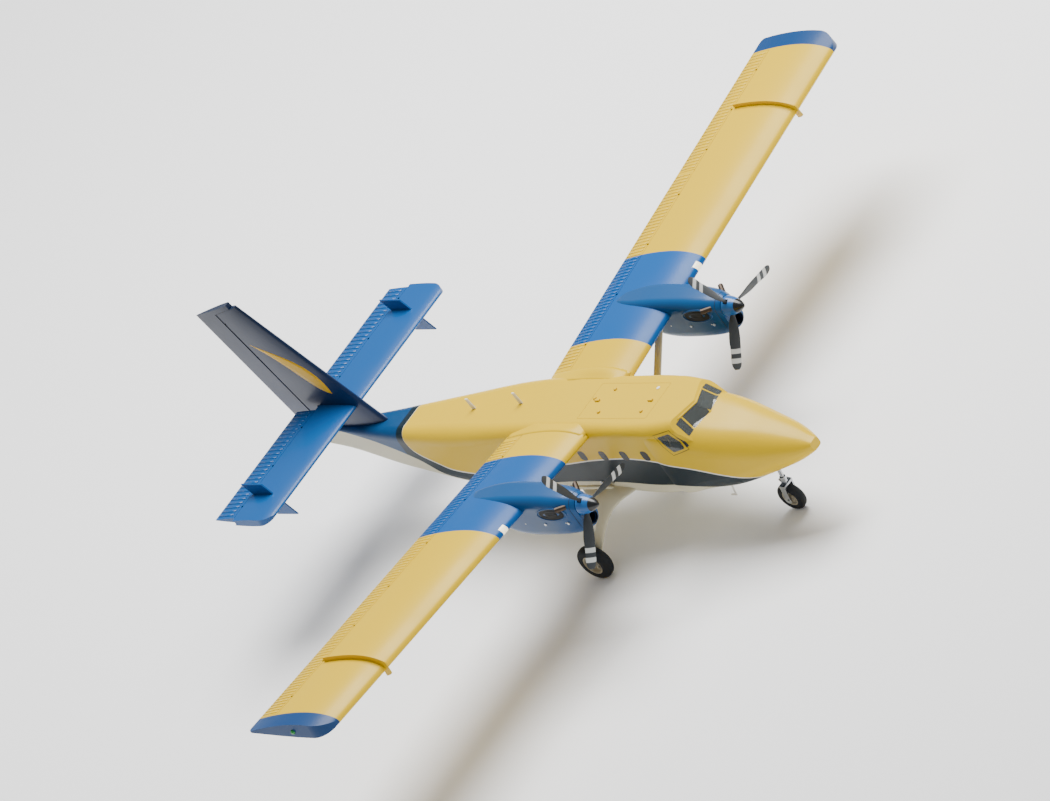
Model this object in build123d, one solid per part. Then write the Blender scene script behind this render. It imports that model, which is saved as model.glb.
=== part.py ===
"""High-wing twin-engined radio control transport aeroplane, built from separate moulded parts.

Frame: +X towards the nose, +Y to port, +Z up, millimetres. The origin lies on the ground under
the middle of the length, so the three tyres stand on Z = 0. Distances called "reach" or "s" run
forward from the leading edge of the wing.
"""
from build123d import *
from math import atan2, cos, degrees, hypot, pi, radians, sin, sqrt, tan
import os

# ---- overall sizes ----
CHORD = 146.6
HALF_SPAN = 610.0
DIHEDRAL = 4.95
WING_HEIGHT = 170.0
NOSE_REACH = 320.2
TAIL_REACH = 641.7

# ---- walls, gaps and fits shared by many parts ----
SKIN = 1.2
WING_SKIN = 0.9
TAIL_SKIN = 0.7
HINGE_GAP = 0.55
RUN_FIT = 0.05
WIRE_R = 0.6
PANEL_GAP = 0.35

# ---- fuselage ----
BODY_HALF_W = 52.3
BELLY_Z = 70.2
ROOF_Z = 185.4
CORNER_LOW = 20.0
CORNER_HIGH = 15.0
COCKPIT_REACH = 92.4
FIREWALL_REACH = 132.0
FORMER_T = 2.5
PANE_SWEEP = 22.2
PANE_TILT = 40.3
PANE_BASE_REACH = 177.0
PANE_BASE_Z = 165.9
TIP_HALF_W = 8.0
TIP_HALF_H = 6.5
WINDOW_W = 12.5
WINDOW_H = 16.5
WINDOW_Z = 141.5
WINDOW_PITCH = 38.0
WINDOW_COUNT = 6
HATCH_FRONT = 96.0
HATCH_BACK = -28.0
HATCH_HALF_W = 31.0

# ---- wing ----
AIRFOIL_T = 0.14
CAMBER = 0.025
CAMBER_AT = 0.4
TRAILING_T = 0.8
HINGE_AT = 0.75
BREAK_Y = 386.0
TIP_CAP = 24.4
TIP_CORNER = 30.0
CAP_WALL = 1.5
JOINER_R = 4.0
JOINER_AT = (0.25, 0.58)
JOINER_LEN = 190.0
FENCE_Y = 488.3
FENCE_HEIGHT = 6.0
FENCE_T = 1.3
FENCE_BACK = 0.73
LIGHT_Y = 226.6
LIGHT_W = 10.0
BRACKET_T = 1.6
BRACKET_SLOT = 2.6
EYE_R = 2.2
NECK_H = 2.6

# ---- aileron linkage ----
ARM_R = 13.0
LINK_LEN = 52.0
LINK_Y = 436.0
PLATE_T = 1.6
PIN_R = 0.8
ROD_OFFSET = 2.3
SERVO_LEN = 23.0
SERVO_W = 12.0
SERVO_TALL = 22.0

# ---- nacelles, motors and propellers ----
NACELLE_Y = 173.0
THRUST_Z = 178.8
COWL_FRONT = 85.5
SPLIT_Z = 170.0
SPINNER_R = 13.0
SPINNER_LEN = 29.4
PROP_R = 80.0
BLADES = 3
MOTOR_R = 11.0
MOTOR_LEN = 21.0
SHAFT_R = 1.5
MOUNT_REACH = 50.0

# ---- tail ----
STAB_CHORD = 105.4
STAB_REACH = -460.0
STAB_Z = 182.3
STAB_HALF_SPAN = 212.0
STAB_T = 0.10
ELEVATOR_HALF_SPAN = 207.0
ELEVATOR_ROOT = 14.5
ELEVATOR_AT = 0.65
TAIL_WIRE_R = 0.5
FINLET_Y = 163.8
FINLET_T = 1.8
FIN_BASE_Z = 150.0
FIN_TOP_Z = 352.0
FIN_BASE_LE = -424.0
FIN_TOP_LE = -551.5
FIN_T = 0.09
RUDDER_BASE = -594.0
RUDDER_BASE_Z = 160.0
RUDDER_TIP_Z = 341.2
HINGE_BASE = -547.0
HINGE_TOP = -599.5
HORN_H = 7.0
HORN_REACH = -566.0

# ---- landing gear ----
HALF_TRACK = 120.7
MAIN_REACH = -48.5
MAIN_R = 25.0
MAIN_TYRE_W = 15.0
NOSE_WHEEL_REACH = 211.2
NOSE_R = 20.0
NOSE_TYRE_W = 11.0
NOSE_RAKE = 13.0
AXLE_R = 2.0
LEG_R = 2.6

# ---- worked out from the sizes above ----
WING_X = (TAIL_REACH - NOSE_REACH) / 2
BODY_H = ROOF_Z - BELLY_Z
HINGE_X = WING_X - HINGE_AT * CHORD
SPAN_LEN = HALF_SPAN / cos(radians(DIHEDRAL))
ROOT_SPAN = BODY_HALF_W / cos(radians(DIHEDRAL))
CAP_SPAN = (HALF_SPAN - TIP_CAP) / cos(radians(DIHEDRAL))
BREAK_SPAN = BREAK_Y / cos(radians(DIHEDRAL))
BAY_ROOT = ROOT_SPAN + 6.0
BAY_TIP = CAP_SPAN - 1.5


# ---------------------------------------------------------------- helpers
def at(reach):
    """X of a point that lies `reach` ahead of the wing's leading edge."""
    return WING_X + reach


def block(x0, x1, y0, y1, z0, z1):
    """Box between two corners."""
    centre = ((x0 + x1) / 2, (y0 + y1) / 2, (z0 + z1) / 2)
    return Pos(*centre) * Box(abs(x1 - x0), abs(y1 - y0), abs(z1 - z0))


def rod(start, end, radius):
    """Round rod between two points."""
    a = Vector(*start)
    b = Vector(*end)
    along = b - a
    plane = Plane(origin=a, z_dir=along.normalized())
    return plane * Cylinder(radius, along.length, align=(Align.CENTER, Align.CENTER, Align.MIN))


def mirrored(shape):
    """The same part on the other side of the aeroplane."""
    return mirror(shape, about=Plane.XZ)


def group(shapes):
    """Several solids kept apart in one named part."""
    solids = []
    for shape in shapes:
        solids += shape.solids()
    return Compound(children=solids)


def both(shape):
    """A pair of parts, one on each side."""
    return group([shape, mirrored(shape)])


def rounded(plane, half_w, low, high, r_low, r_high):
    """Face in `plane`: a box outline with its own radii at the bottom and the top."""
    limit = min(half_w, (high - low) / 2) - 0.05
    r_low = min(r_low, limit)
    r_high = min(r_high, limit)
    lines = []
    lines.append(Line((-half_w + r_low, low), (half_w - r_low, low)))
    lines.append(CenterArc((half_w - r_low, low + r_low), r_low, -90, 90))
    lines.append(Line((half_w, low + r_low), (half_w, high - r_high)))
    lines.append(CenterArc((half_w - r_high, high - r_high), r_high, 0, 90))
    lines.append(Line((half_w - r_high, high), (-half_w + r_high, high)))
    lines.append(CenterArc((-half_w + r_high, high - r_high), r_high, 90, 90))
    lines.append(Line((-half_w, high - r_high), (-half_w, low + r_low)))
    lines.append(CenterArc((-half_w + r_low, low + r_low), r_low, 180, 90))
    return plane * make_face(lines)


def across(reach, y=0.0):
    """Plane across the aeroplane: its x is +Y and its y is +Z."""
    return Plane(origin=(at(reach), y, 0), x_dir=(0, 1, 0), z_dir=(1, 0, 0))


def side_plane(y=0.0):
    """Plane along the aeroplane: its x is +X and its y is +Z."""
    return Plane(origin=(0, y, 0), x_dir=(1, 0, 0), z_dir=(0, -1, 0))


def side_prism(points, y0, y1):
    """Straight-sided prism drawn in side view and spanning y0 to y1."""
    outline = make_face(Polyline(*points, close=True))
    return extrude(side_plane(y0) * outline, amount=-(y1 - y0))


# ---------------------------------------------------------------- fuselage
# reach as a share of the nose or the tail, half width, bottom, top, bottom radius, top radius
NOSE_ROWS = (
    (0.289, 1.000, 0.000, 0.983, 1.00, 1.60),
    (0.423, 0.990, 0.000, 0.914, 1.15, 1.90),
    (0.558, 0.930, 0.011, 0.828, 1.30, 2.10),
    (0.692, 0.805, 0.049, 0.738, 1.40, 2.10),
    (0.808, 0.640, 0.108, 0.642, 1.40, 1.90),
    (0.904, 0.460, 0.178, 0.540, 1.15, 1.35),
    (0.962, 0.295, 0.240, 0.458, 0.80, 0.85),
)
TAIL_ROWS = (
    (-0.149, 1.000, 0.000, 1.000, 1.0, 1.0),
    (0.000, 1.000, 0.000, 1.000, 1.0, 1.0),
    (0.171, 1.000, 0.000, 0.992, 1.0, 1.1),
    (0.335, 0.945, 0.003, 0.925, 1.0, 1.3),
    (0.432, 0.850, 0.035, 0.868, 1.0, 1.4),
    (0.511, 0.740, 0.082, 0.822, 0.9, 1.3),
    (0.598, 0.590, 0.142, 0.768, 0.8, 1.0),
    (0.681, 0.430, 0.208, 0.725, 0.6, 0.7),
    (0.751, 0.305, 0.290, 0.703, 0.5, 0.5),
    (0.821, 0.205, 0.375, 0.695, 0.35, 0.3),
    (0.915, 0.120, 0.495, 0.690, 0.2, 0.2),
)
CANOPY_ROWS = (
    (0.289, 1.000),
    (0.360, 0.975),
    (0.450, 0.880),
    (0.560, 0.770),
    (0.680, 0.660),
)


def body_row(row, reach, inset):
    """One cross section of the body, moved in by `inset` for the inside of the skin."""
    _, width, low, high, r_low, r_high = row
    return rounded(
        across(reach),
        BODY_HALF_W * width - inset,
        BELLY_Z + BODY_H * low + inset,
        BELLY_Z + BODY_H * high - inset,
        max(CORNER_LOW * r_low - inset, 0.6),
        max(CORNER_HIGH * r_high - inset, 0.6),
    )


def pane_plane(side, inset):
    """Plane of one windscreen half; its z looks out and its x runs across towards that side."""
    sweep = radians(PANE_SWEEP)
    tilt = radians(PANE_TILT)
    outward = Vector(cos(tilt) * cos(sweep), side * cos(tilt) * sin(sweep), sin(tilt))
    base = Vector(at(PANE_BASE_REACH), 0, PANE_BASE_Z)
    run = Vector(-sin(sweep), side * cos(sweep), 0)
    return Plane(origin=base - outward * inset, x_dir=run, z_dir=outward)


def canopy(inset):
    """Upper cockpit, cut off by the two flat windscreen planes."""
    rows = []
    for share, width in CANOPY_ROWS:
        half = BODY_HALF_W * width - inset
        low = BELLY_Z + BODY_H * 0.55 + inset
        high = ROOF_Z - inset
        rows.append(rounded(across(NOSE_REACH * share), half, low, high, 4.0, CORNER_HIGH - inset))
    shape = loft(rows)
    for side in (1, -1):
        cutter = pane_plane(side, inset) * Box(400, 400, 200, align=(Align.CENTER, Align.CENTER, Align.MIN))
        shape -= cutter
    return shape


def body_volume(inset):
    """Whole fuselage as a solid, smaller all round by `inset`."""
    tail_rows = [body_row(row, -TAIL_REACH * row[0], inset) for row in TAIL_ROWS]
    nose_rows = [body_row(row, NOSE_REACH * row[0], inset) for row in NOSE_ROWS]
    tip = NOSE_REACH - inset
    tip_z = BELLY_Z + BODY_H * 0.348
    low, high = tip_z - TIP_HALF_H + inset, tip_z + TIP_HALF_H - inset
    nose_rows.append(rounded(across(tip), TIP_HALF_W - inset, low, high, 4.0, 4.0))
    tail = loft(tail_rows)
    nose = loft(nose_rows)
    return tail + nose + canopy(inset)


# ---------------------------------------------------------------- wing outline
def thickness_at(share, thickness):
    """Half thickness of the airfoil at a share of the chord, as a share of the chord."""
    x = share
    poly = 0.2969 * sqrt(x) - 0.1260 * x - 0.3516 * x**2 + 0.2843 * x**3 - 0.1036 * x**4
    return 5 * thickness * poly


def camber_line(share, camber):
    """Height of the mean line at a share of the chord."""
    if share < CAMBER_AT:
        return camber / CAMBER_AT**2 * (2 * CAMBER_AT * share - share**2)
    aft = 1 - CAMBER_AT
    return camber / aft**2 * ((1 - 2 * CAMBER_AT) + 2 * CAMBER_AT * share - share**2)


def airfoil(chord, nose_x, z, thickness, camber, inset=0.0, front=0.0, back=1.0, steps=14):
    """Closed face of an airfoil in the side plane, or of its inside between two chord shares."""
    upper = []
    lower = []
    for i in range(steps + 1):
        share = front + (back - front) * (1 - cos(pi * i / steps)) / 2
        half = thickness_at(share, thickness) * chord + TRAILING_T / 2 * share - inset
        mean = camber_line(share, camber) * chord
        x = nose_x - share * chord
        upper.append((x, z + mean + half))
        lower.append((x, z + mean - half))
    if front == 0.0 and inset == 0.0:
        edges = [Spline(*upper), Line(upper[-1], lower[-1]), Spline(*lower[::-1])]
    else:
        edges = [Spline(*upper), Line(upper[-1], lower[-1]), Spline(*lower[::-1]), Line(lower[0], upper[0])]
    return make_face(edges)


def wing_face(inset=0.0, front=0.0, back=1.0):
    """Section of the wing in its own flat frame."""
    return airfoil(CHORD, WING_X, WING_HEIGHT, AIRFOIL_T, CAMBER, inset, front, back)


def spanwise(face, y0, y1):
    """Extrude a side-view face from y0 to y1."""
    return extrude(side_plane(y0) * face, amount=-(y1 - y0))


def raise_wing(shape):
    """Tilt a part from the flat wing frame up to the port wing's dihedral."""
    pivot = Pos(0, 0, WING_HEIGHT)
    return pivot * Rot(DIHEDRAL, 0, 0) * pivot.inverse() * shape


HINGE_Z = WING_HEIGHT + camber_line(HINGE_AT, CAMBER) * CHORD
NOSE_ROLL_R = thickness_at(HINGE_AT, AIRFOIL_T) * CHORD
COVE_R = NOSE_ROLL_R + HINGE_GAP
CAVITY_BACK = HINGE_AT - (COVE_R + WING_SKIN) / CHORD


def y_rod(x, z, radius, y0, y1):
    """Round bar along Y."""
    return rod((x, y0, z), (x, y1, z), radius)


def planform(front_x, back_x, y0, y1, front_r, back_r):
    """Tall prism with its outer corners rounded, seen from above."""
    edges = []
    edges.append(Line((front_x, y0), (front_x, y1 - front_r)))
    edges.append(CenterArc((front_x - front_r, y1 - front_r), front_r, 0, 90))
    edges.append(Line((front_x - front_r, y1), (back_x + back_r, y1)))
    edges.append(CenterArc((back_x + back_r, y1 - back_r), back_r, 90, 90))
    edges.append(Line((back_x, y1 - back_r), (back_x, y0)))
    edges.append(Line((back_x, y0), (front_x, y0)))
    return extrude(make_face(edges), amount=400)


# ---------------------------------------------------------------- wing parts, flat frame, port side
def bay_cut(y0, y1):
    """Space for a control surface: everything behind the hinge, and the cove round its nose."""
    aft = block(HINGE_X, HINGE_X - CHORD, y0, y1, WING_HEIGHT - 40, WING_HEIGHT + 40)
    return aft + y_rod(HINGE_X, HINGE_Z, COVE_R, y0, y1)


def surface(y0, y1, bracket_ys):
    """Flap or aileron: rounded nose about the hinge, wire bore and slots for the brackets."""
    body = spanwise(wing_face(), y0, y1)
    aft = block(HINGE_X, HINGE_X - CHORD, y0, y1, WING_HEIGHT - 40, WING_HEIGHT + 40)
    aft += y_rod(HINGE_X, HINGE_Z, NOSE_ROLL_R, y0, y1)
    body &= aft
    body -= y_rod(HINGE_X, HINGE_Z, WIRE_R + RUN_FIT, y0 - 1, y1 + 1)
    body -= spanwise(wing_face(WING_SKIN, HINGE_AT + 0.035, 0.95), y0 + 3, y1 - 3)
    for y in bracket_ys:
        body -= y_rod(HINGE_X, HINGE_Z, COVE_R, y - BRACKET_SLOT / 2, y + BRACKET_SLOT / 2)
    return body


def bracket_places(y0, y1, count):
    """Hinge bracket stations, spread evenly along a bay."""
    pitch = (y1 - y0) / count
    return [y0 + pitch * (i + 0.5) for i in range(count)]


FLAP_YS = bracket_places(BAY_ROOT, BREAK_SPAN, 4)
AILERON_YS = bracket_places(BREAK_SPAN, BAY_TIP, 3)
def bracket(hinge_plane, station, cove_r, wire_r):
    """Hinge bracket: an eye round the wire and a neck that ends on the cove wall.

    The plane's z runs along the hinge and its x points at the fixed part.
    """
    span = BRACKET_T
    eye = Cylinder(EYE_R, span)
    neck = Pos(cove_r, 0, 0) * Box(2 * cove_r, NECK_H, span)
    shape = (eye + neck) & Cylinder(cove_r, span)
    shape -= Cylinder(wire_r, 3 * span)
    return hinge_plane * Pos(0, 0, station) * shape


WING_HINGE = Plane(origin=(HINGE_X, 0, HINGE_Z), x_dir=(1, 0, 0), z_dir=(0, 1, 0))


def wing_brackets():
    """Hinge brackets of one wing half."""
    places = FLAP_YS + AILERON_YS
    return [raise_wing(bracket(WING_HINGE, y, COVE_R, WIRE_R)) for y in places]


def hinge_wires():
    """Steel hinge wires, one through each bay of the wing."""
    wires = []
    for y0, y1 in ((BAY_ROOT, BREAK_SPAN), (BREAK_SPAN, BAY_TIP)):
        wires.append(raise_wing(y_rod(HINGE_X, HINGE_Z, WIRE_R, y0 + 2.5, y1 - 2.5)))
    return wires


def side_cut():
    """Everything inboard of the fuselage side."""
    return block(WING_X - 400, WING_X + 400, -200, BODY_HALF_W, -50, 500)


def joiner_rods():
    """Two carbon rods, each with its bend at the centre line, that carry the wing halves."""
    rods = []
    for share in JOINER_AT:
        x = WING_X - share * CHORD
        z = WING_HEIGHT + camber_line(share, CAMBER) * CHORD
        half = raise_wing(y_rod(x, z, JOINER_R, -20, JOINER_LEN))
        half -= block(x - 50, x + 50, -60, 0, z - 60, z + 60)
        rods.append(half + mirrored(half))
    return rods


RIB_T = 2.0
WING_STATIONS = (ROOT_SPAN, NACELLE_Y, 0.62 * BREAK_SPAN, BREAK_SPAN, FENCE_Y, CAP_SPAN)


def wing_body():
    """Port wing moulding: skin, ribs and rear wall, open at the bays."""
    body = spanwise(wing_face(), 0, CAP_SPAN)
    body -= bay_cut(BAY_ROOT, BREAK_SPAN)
    body -= bay_cut(BREAK_SPAN, BAY_TIP)
    stations = [ROOT_SPAN + 6] + [s + 3 for s in WING_STATIONS[1:-1]]
    ends = [s for s in WING_STATIONS[1:-1]] + [CAP_SPAN - RIB_T]
    for y0, y1 in zip(stations, ends):
        body -= spanwise(wing_face(WING_SKIN, 0.02, CAVITY_BACK), y0, y1)
    body = raise_wing(body) - side_cut()
    return body


def tip_cap():
    """Rounded moulded cap that closes the wing."""
    body = spanwise(wing_face(), CAP_SPAN, SPAN_LEN)
    plan = planform(WING_X, WING_X - CHORD, 0, SPAN_LEN, TIP_CORNER, TIP_CORNER / 4)
    body &= plan
    hollow = spanwise(wing_face(CAP_WALL, 0.05, 0.9), CAP_SPAN + CAP_WALL, SPAN_LEN - 7)
    hollow &= planform(WING_X - 2, WING_X - CHORD + 2, 0, SPAN_LEN - 2, TIP_CORNER, TIP_CORNER / 4)
    return raise_wing(body - hollow)


def fence():
    """Stall fence: a thin plate round the leading edge and along the top."""
    chord = CHORD + FENCE_HEIGHT
    nose_x = WING_X + FENCE_HEIGHT
    outer = airfoil(chord, nose_x, WING_HEIGHT, AIRFOIL_T, CAMBER, -FENCE_HEIGHT, 0.004, FENCE_BACK)
    plate = spanwise(outer, FENCE_Y, FENCE_Y + FENCE_T)
    plate -= spanwise(wing_face(), FENCE_Y - 1, FENCE_Y + FENCE_T + 1)
    under = block(WING_X - 400, WING_X - 0.04 * CHORD, FENCE_Y - 1, FENCE_Y + 3, 0, WING_HEIGHT)
    plate -= under
    main = max(plate.solids(), key=lambda s: s.volume)
    return raise_wing(main)


def light_lens():
    """Landing light lens that completes the leading edge."""
    body = spanwise(wing_face(), LIGHT_Y, LIGHT_Y + LIGHT_W)
    return raise_wing(body & block(WING_X + 1, WING_X - 5.5, LIGHT_Y, LIGHT_Y + LIGHT_W, 100, 250))


def nav_lens():
    """Small position light on the end of the wing."""
    place = (WING_X - 0.42 * CHORD, SPAN_LEN, WING_HEIGHT + 2.5)
    lens = Pos(*place) * Sphere(3.2)
    lens -= spanwise(wing_face(), SPAN_LEN - 10, SPAN_LEN)
    return raise_wing(lens)
# ---------------------------------------------------------------- aileron linkage, flat frame
ARM_X = HINGE_X + LINK_LEN
LINK_Z = HINGE_Z - ARM_R


def servo_arm():
    """Arm on the servo's output shaft, parallel to the horn it drives."""
    half = PLATE_T / 2
    arm = y_rod(ARM_X, HINGE_Z, 3.0, LINK_Y - half, LINK_Y + half)
    arm += y_rod(ARM_X, LINK_Z, 2.0, LINK_Y - half, LINK_Y + half)
    arm += block(ARM_X - 1.8, ARM_X + 1.8, LINK_Y - half, LINK_Y + half, LINK_Z, HINGE_Z)
    arm += y_rod(ARM_X, HINGE_Z, 2.0, LINK_Y + half, LINK_Y + half + 3.0)
    arm -= y_rod(ARM_X, LINK_Z, PIN_R + RUN_FIT, LINK_Y - 5, LINK_Y + 5)
    return raise_wing(arm)


def pushrod():
    """Wire pushrod with its ends bent through the arm and the horn."""
    y = LINK_Y - ROD_OFFSET
    wire = rod((ARM_X, y, LINK_Z), (HINGE_X, y, LINK_Z), PIN_R)
    for x in (ARM_X, HINGE_X):
        wire += y_rod(x, LINK_Z, PIN_R, y - PIN_R, LINK_Y + PLATE_T)
    return raise_wing(wire)


def horn():
    """Control horn under the aileron, with the pushrod's hole level with the arm's."""
    half = PLATE_T / 2
    outline = [(HINGE_X - 3, HINGE_Z - 2), (HINGE_X - 15, HINGE_Z - 2), (HINGE_X - 1.5, LINK_Z - 1.4)]
    outline += [(HINGE_X + 1.5, LINK_Z - 1.0), (HINGE_X + 1.4, LINK_Z + 1.5)]
    plate = side_prism(outline, LINK_Y - half, LINK_Y + half)
    plate += y_rod(HINGE_X, LINK_Z, 2.0, LINK_Y - half, LINK_Y + half)
    return plate - y_rod(HINGE_X, LINK_Z, PIN_R + RUN_FIT, LINK_Y - 5, LINK_Y + 5)


def arm_slot():
    """Slot in the lower skin that the servo arm swings in."""
    reach = ARM_R * 0.36 + 4.0
    return block(ARM_X - reach, ARM_X + reach, LINK_Y - 1.6, LINK_Y + 1.6, WING_HEIGHT - 20, HINGE_Z - 2)


def servo_case():
    """Servo lying in the wing, seated on the lower skin, with the bore of its output shaft."""
    y0 = LINK_Y + PLATE_T / 2 + 0.8
    case = block(ARM_X - 6, ARM_X - 6 + SERVO_LEN, y0, y0 + SERVO_TALL, WING_HEIGHT - 20, HINGE_Z + SERVO_W / 2)
    case &= spanwise(wing_face(WING_SKIN, 0.02, CAVITY_BACK), y0 - 1, y0 + SERVO_TALL + 1)
    case -= y_rod(ARM_X, HINGE_Z, 2.0 + RUN_FIT, y0 - 1, y0 + 5)
    return raise_wing(case)


# ---------------------------------------------------------------- nacelles
# reach, half width, bottom and top from the thrust line, corner radius
NACELLE_ROWS = (
    (COWL_FRONT, 13.5, -33.0, 13.5, 13.3),
    (COWL_FRONT - 8, 16.6, -36.2, 17.3, 14.5),
    (COWL_FRONT - 24, 19.6, -38.6, 20.8, 15.0),
    (COWL_FRONT - 46, 21.3, -39.5, 23.2, 15.0),
    (COWL_FRONT - 80, 21.5, -39.3, 24.8, 13.0),
    (COWL_FRONT - 115, 21.0, -35.5, 24.6, 11.0),
    (COWL_FRONT - 143, 19.0, -24.0, 22.4, 9.0),
    (COWL_FRONT - 167, 14.5, -8.0, 19.2, 6.5),
    (COWL_FRONT - 188.5, 8.0, 3.0, 14.8, 4.0),
)
COWL_WALL = 1.3


def nacelle_volume(inset, rows=NACELLE_ROWS):
    """Nacelle as a solid, smaller all round by `inset`."""
    faces = []
    for i, (reach, half, low, high, radius) in enumerate(rows):
        station = reach - (inset if i == 0 else 0)
        low_z = THRUST_Z + low + inset
        high_z = THRUST_Z + high - inset
        plane = across(station, NACELLE_Y)
        faces.append(rounded(plane, half - inset, low_z, high_z, radius - inset, radius - inset))
    return loft(faces)


def thrust_rod(reach0, reach1, radius):
    """Round bar on the port thrust line."""
    return rod((at(reach0), NACELLE_Y, THRUST_Z), (at(reach1), NACELLE_Y, THRUST_Z), radius)


def flat_wing_solid():
    """Full outer shape of the port wing, used to fit parts to its surface."""
    return raise_wing(spanwise(wing_face(), 0, CAP_SPAN))


INTAKE_Z = THRUST_Z - 22.6
INTAKE_W = 9.4
INTAKE_H = 8.4
INTAKE_WALL = 1.6
LIP_LEN = 2.6


def oval(half_w, half_h, reach0, reach1):
    """Oval bar below the thrust line, the shape of the air intake."""
    plane = Plane(origin=(at(reach0), NACELLE_Y, INTAKE_Z), x_dir=(0, 1, 0), z_dir=(1, 0, 0))
    return extrude(plane * Ellipse(half_w, half_h), amount=reach1 - reach0)


def nacelle_parts(wing_solid):
    """Upper nacelle and lower cowl of the port engine."""
    outer = nacelle_volume(0)
    inner = nacelle_volume(COWL_WALL, NACELLE_ROWS[:7])
    shell = outer - inner - wing_solid
    shell -= thrust_rod(COWL_FRONT - 10, COWL_FRONT + 5, 6.0)
    shell -= oval(INTAKE_W - INTAKE_WALL, INTAKE_H - INTAKE_WALL, COWL_FRONT - 12, COWL_FRONT + 5)
    below = block(at(-200), at(200), NACELLE_Y - 60, NACELLE_Y + 60, 0, SPLIT_Z)
    upper = shell - below
    lower = shell & below
    return largest(upper), largest(lower)


def largest(shape):
    """The main solid of a cut, without loose crumbs."""
    return max(shape.solids(), key=lambda s: s.volume)


def intake_lip():
    """Round-edged intake ring on the front of the lower cowl."""
    ring = oval(INTAKE_W, INTAKE_H, COWL_FRONT, COWL_FRONT + LIP_LEN)
    ring = fillet(ring.edges().filter_by(GeomType.ELLIPSE).sort_by(Axis.X)[-1], 1.2)
    return ring - oval(INTAKE_W - INTAKE_WALL, INTAKE_H - INTAKE_WALL, COWL_FRONT - 1, COWL_FRONT + LIP_LEN + 1)


def motor_mount():
    """Firewall plate across the inside of the nacelle."""
    inner = nacelle_volume(COWL_WALL, NACELLE_ROWS[:7])
    slab = block(at(MOUNT_REACH - 2.5), at(MOUNT_REACH), NACELLE_Y - 60, NACELLE_Y + 60, 0, 400)
    return (inner & slab) - thrust_rod(MOUNT_REACH - 10, MOUNT_REACH + 10, 3.0)


def motor_stator():
    """Fixed half of the outrunner motor, bored for the shaft."""
    body = thrust_rod(MOUNT_REACH, MOUNT_REACH + 3, MOTOR_R - 2)
    body += thrust_rod(MOUNT_REACH + 3, MOUNT_REACH + MOTOR_LEN - 5, MOTOR_R - 1.8)
    return body - thrust_rod(MOUNT_REACH - 5, MOUNT_REACH + MOTOR_LEN, SHAFT_R + RUN_FIT)


def motor_rotor():
    """Bell of the outrunner with its shaft and the collar that carries the propeller."""
    end = MOUNT_REACH + MOTOR_LEN
    bell = thrust_rod(MOUNT_REACH + 4, end, MOTOR_R) - thrust_rod(MOUNT_REACH + 3, end - 2.5, MOTOR_R - 1.2)
    bell += thrust_rod(MOUNT_REACH + 1, PROP_REACH + 8, SHAFT_R)
    bell += thrust_rod(end - 1, SPINNER_BASE, 4.0)
    return bell


SPINNER_BASE = COWL_FRONT + 1.0
PROP_REACH = SPINNER_BASE + 6.0
HUB_R = 5.5
# share of the propeller's radius, half chord, half thickness, blade angle
BLADE_ROWS = (
    (0.045, 2.0, 2.00, 55),
    (0.140, 2.6, 1.90, 50),
    (0.300, 5.6, 1.25, 38),
    (0.550, 7.2, 0.85, 27),
    (0.820, 7.0, 0.65, 20),
    (0.965, 5.2, 0.50, 17),
    (1.000, 3.0, 0.40, 16),
)


def blade(turn):
    """One twisted blade, turned about the thrust line."""
    faces = []
    for share, half_chord, half_t, angle in BLADE_ROWS:
        plane = Plane(origin=(0, 0, PROP_R * share), x_dir=(1, 0, 0), z_dir=(0, 0, 1))
        faces.append(plane * Rot(0, 0, angle) * Ellipse(half_t, half_chord))
    hub = Pos(at(PROP_REACH), NACELLE_Y, THRUST_Z) * Rot(turn, 0, 0)
    return hub * loft(faces)


BLADE_TURNS = [360 / BLADES * i + 22 for i in range(BLADES)]


def propeller():
    """Three-bladed propeller with a bored hub."""
    body = thrust_rod(PROP_REACH - 4, PROP_REACH + 4, HUB_R)
    for turn in BLADE_TURNS:
        body += blade(turn)
    return body - thrust_rod(PROP_REACH - 10, PROP_REACH + 10, SHAFT_R)


def spinner():
    """Hollow pointed spinner on a back plate, slotted for the blades."""
    outer = spinner_volume(0)
    inner = spinner_volume(1.0)
    cone = outer - inner
    cone -= thrust_rod(SPINNER_BASE - 1, SPINNER_BASE + 2, 4.0)
    for turn in BLADE_TURNS:
        hub = Pos(at(PROP_REACH), NACELLE_Y, THRUST_Z) * Rot(turn, 0, 0)
        cone -= hub * Pos(0, 0, SPINNER_R) * Box(6.4, 6.4, SPINNER_R)
    return cone


def spinner_volume(inset):
    """Ogive of the spinner, smaller all round by `inset`."""
    base = SPINNER_BASE + inset
    length = SPINNER_LEN - 2.5 * inset
    radius = SPINNER_R - inset
    points = []
    for i in range(11):
        share = sin(pi / 2 * i / 10)
        points.append((base + length * share, radius * (1 - share**1.7) ** 0.8))
    edges = [Spline(*points), Line(points[-1], (base, 0)), Line((base, 0), points[0])]
    profile = make_face(edges)
    shape = revolve(profile, Axis((0, 0, 0), (1, 0, 0)), 360)
    return Pos(WING_X, NACELLE_Y, THRUST_Z) * shape


def exhausts():
    """Two short exhaust stubs on the sides of the cowl, open at the back."""
    stubs = []
    outer = nacelle_volume(0)
    for side in (1, -1):
        start = (at(COWL_FRONT - 12), NACELLE_Y + side * 14.0, THRUST_Z + 9)
        end = (at(COWL_FRONT - 22), NACELLE_Y + side * 23.5, THRUST_Z + 12)
        stub = rod(start, end, 3.4) - outer
        stubs.append(stub - rod((start[0] - 5, start[1] + side * 4.8, start[2] + 1.5), end, 2.4))
    return [largest(stub) for stub in stubs]


def speed_controller():
    """Motor controller lying on the floor of the nacelle, behind the firewall."""
    box = block(at(MOUNT_REACH - 48), at(MOUNT_REACH - 6), NACELLE_Y - 9, NACELLE_Y + 9, 100, THRUST_Z - 29)
    return box & nacelle_volume(COWL_WALL, NACELLE_ROWS[:7])


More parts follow.
